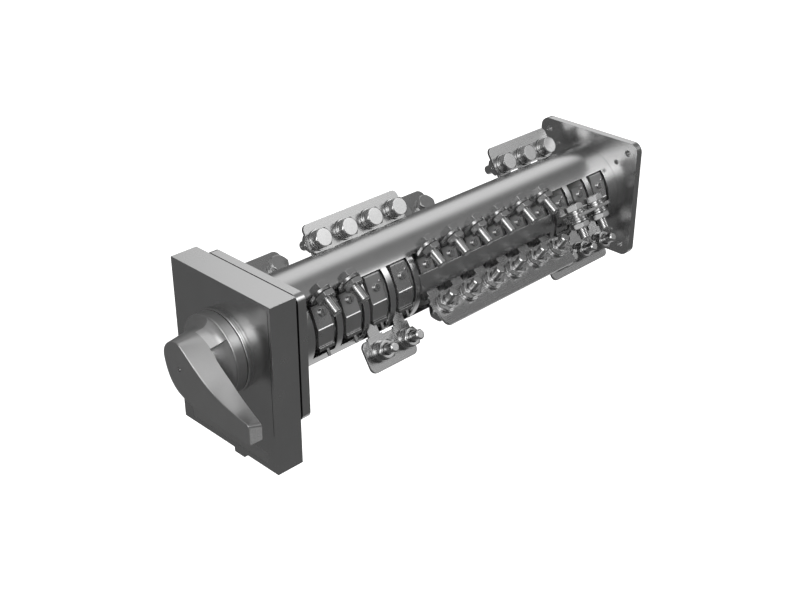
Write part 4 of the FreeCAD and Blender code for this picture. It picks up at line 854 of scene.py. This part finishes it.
lever = shape("selector_handle_moulded", moulding_mesh())
combine(lever, shape("hollow", prism([(0, 0), (27.7, 51.0), (104.0, 51.0), (104.0, -51.0), (27.7, -51.0)], -59.8, -45.0)), "DIFFERENCE")
combine(lever, shape("underside", cut_block([(19.0, -59.6), (24.0, -60.6), (98.0, -65.6), (98.0, -45.0), (19.0, -45.0)], -80.0, 80.0)), "DIFFERENCE")
neck = smooth_curve([(35.5, -47.0), (31.0, -47.45), (25.5, -48.7), (20.6, -51.4), (17.4, -55.2), (15.9, -59.2), (15.4, -63.0)], 6)
rim = [(35.7 + 1.3 * math.cos(math.radians(a)), -45.7 - 1.3 * math.sin(math.radians(a))) for a in (0, 15, 30, 45, 60, 75)]
collar = [(0.0, -14.0), (11.7, -14.0), (12.0, -14.3), (12.0, -36.7), (36.7, -36.7), (37.0, -37.0)] + rim + neck + [(0.0, -63.0)]
combine(lever, shape("collar", turned(collar)), "UNION")
combine(lever, shape("bore", turned([(0.0, -60.4), (7.03, -60.4), (7.03, -13.0), (0.0, -13.0)], 64)), "DIFFERENCE")
combine(lever, shape("screw_hole", turned([(0.0, -79.0), (2.1, -79.0), (2.1, -58.0), (0.0, -58.0)], 48)), "DIFFERENCE")
bm = bmesh.new()
bm.from_mesh(lever.data)
bmesh.ops.remove_doubles(bm, verts=bm.verts, dist=2e-6)
bmesh.ops.recalc_face_normals(bm, faces=bm.faces)
bm.to_mesh(lever.data)
bm.free()
lever.data.shade_smooth()
lever.data.set_sharp_from_angle(angle=math.radians(26.0))
wear_it(lever, MAT["handle_moulding"])
lever.data.materials.append(TIP)
lever.data.materials.append(HOLLOW_PAINTED_LIGHT)
for face in lever.data.polygons:
    c = face.center
    if face.normal.x > 0.985 and c.x > 0.0865:
        face.material_index = 1
    # Faces of the neck hollow on the right side take the lighter copy: painted light on that recess.
    elif -0.0598 < c.y < -0.0465 and math.hypot(c.x, c.z) < 0.0357 and face.normal.y < -0.02 and c.x > 0:
        face.material_index = 2
even = lever.modifiers.new("flat_faces", "WEIGHTED_NORMAL")
even.mode = "FACE_AREA"
even.weight = 100
even.keep_sharp = True
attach(lever, NODES["selector_handle"]["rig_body"])
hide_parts("selector_handle")

# ------------------------------------------------------------------ floor
FLOOR = -0.62
floor_vertices = []
grid = 24
span = 9.0
for i in range(grid + 1):
    for j in range(grid + 1):
        floor_vertices.append(((i / grid - 0.5) * 2 * span - 1.5, (j / grid - 0.5) * 2 * span + 1.5, FLOOR))
floor_faces = [(i * (grid + 1) + j, (i + 1) * (grid + 1) + j, (i + 1) * (grid + 1) + j + 1, i * (grid + 1) + j + 1)
               for i in range(grid) for j in range(grid)]
floor = build("studio_floor", floor_vertices, floor_faces)
floor_material = bpy.data.materials.new("pale_floor")
floor_material.use_nodes = True
tree = floor_material.node_tree
shader = tree.nodes["Principled BSDF"]
shader.inputs["Roughness"].default_value = 0.9
shader.inputs["Specular IOR Level"].default_value = 0.1
shader.inputs["Emission Color"].default_value = (1.0, 1.0, 1.0, 1.0)
shader.inputs["Emission Strength"].default_value = 0.95
speckle = node(tree, "ShaderNodeTexNoise", (-600, 0))
speckle.inputs["Scale"].default_value = 3.0
tone = node(tree, "ShaderNodeMapRange", (-400, 0))
tone.inputs["To Min"].default_value = 0.66
tone.inputs["To Max"].default_value = 0.70
tree.links.new(speckle.outputs["Fac"], tone.inputs["Value"])
tree.links.new(tone.outputs["Result"], shader.inputs["Base Color"])
wear_it(floor, floor_material)
floor.visible_glossy = False
floor.visible_diffuse = False
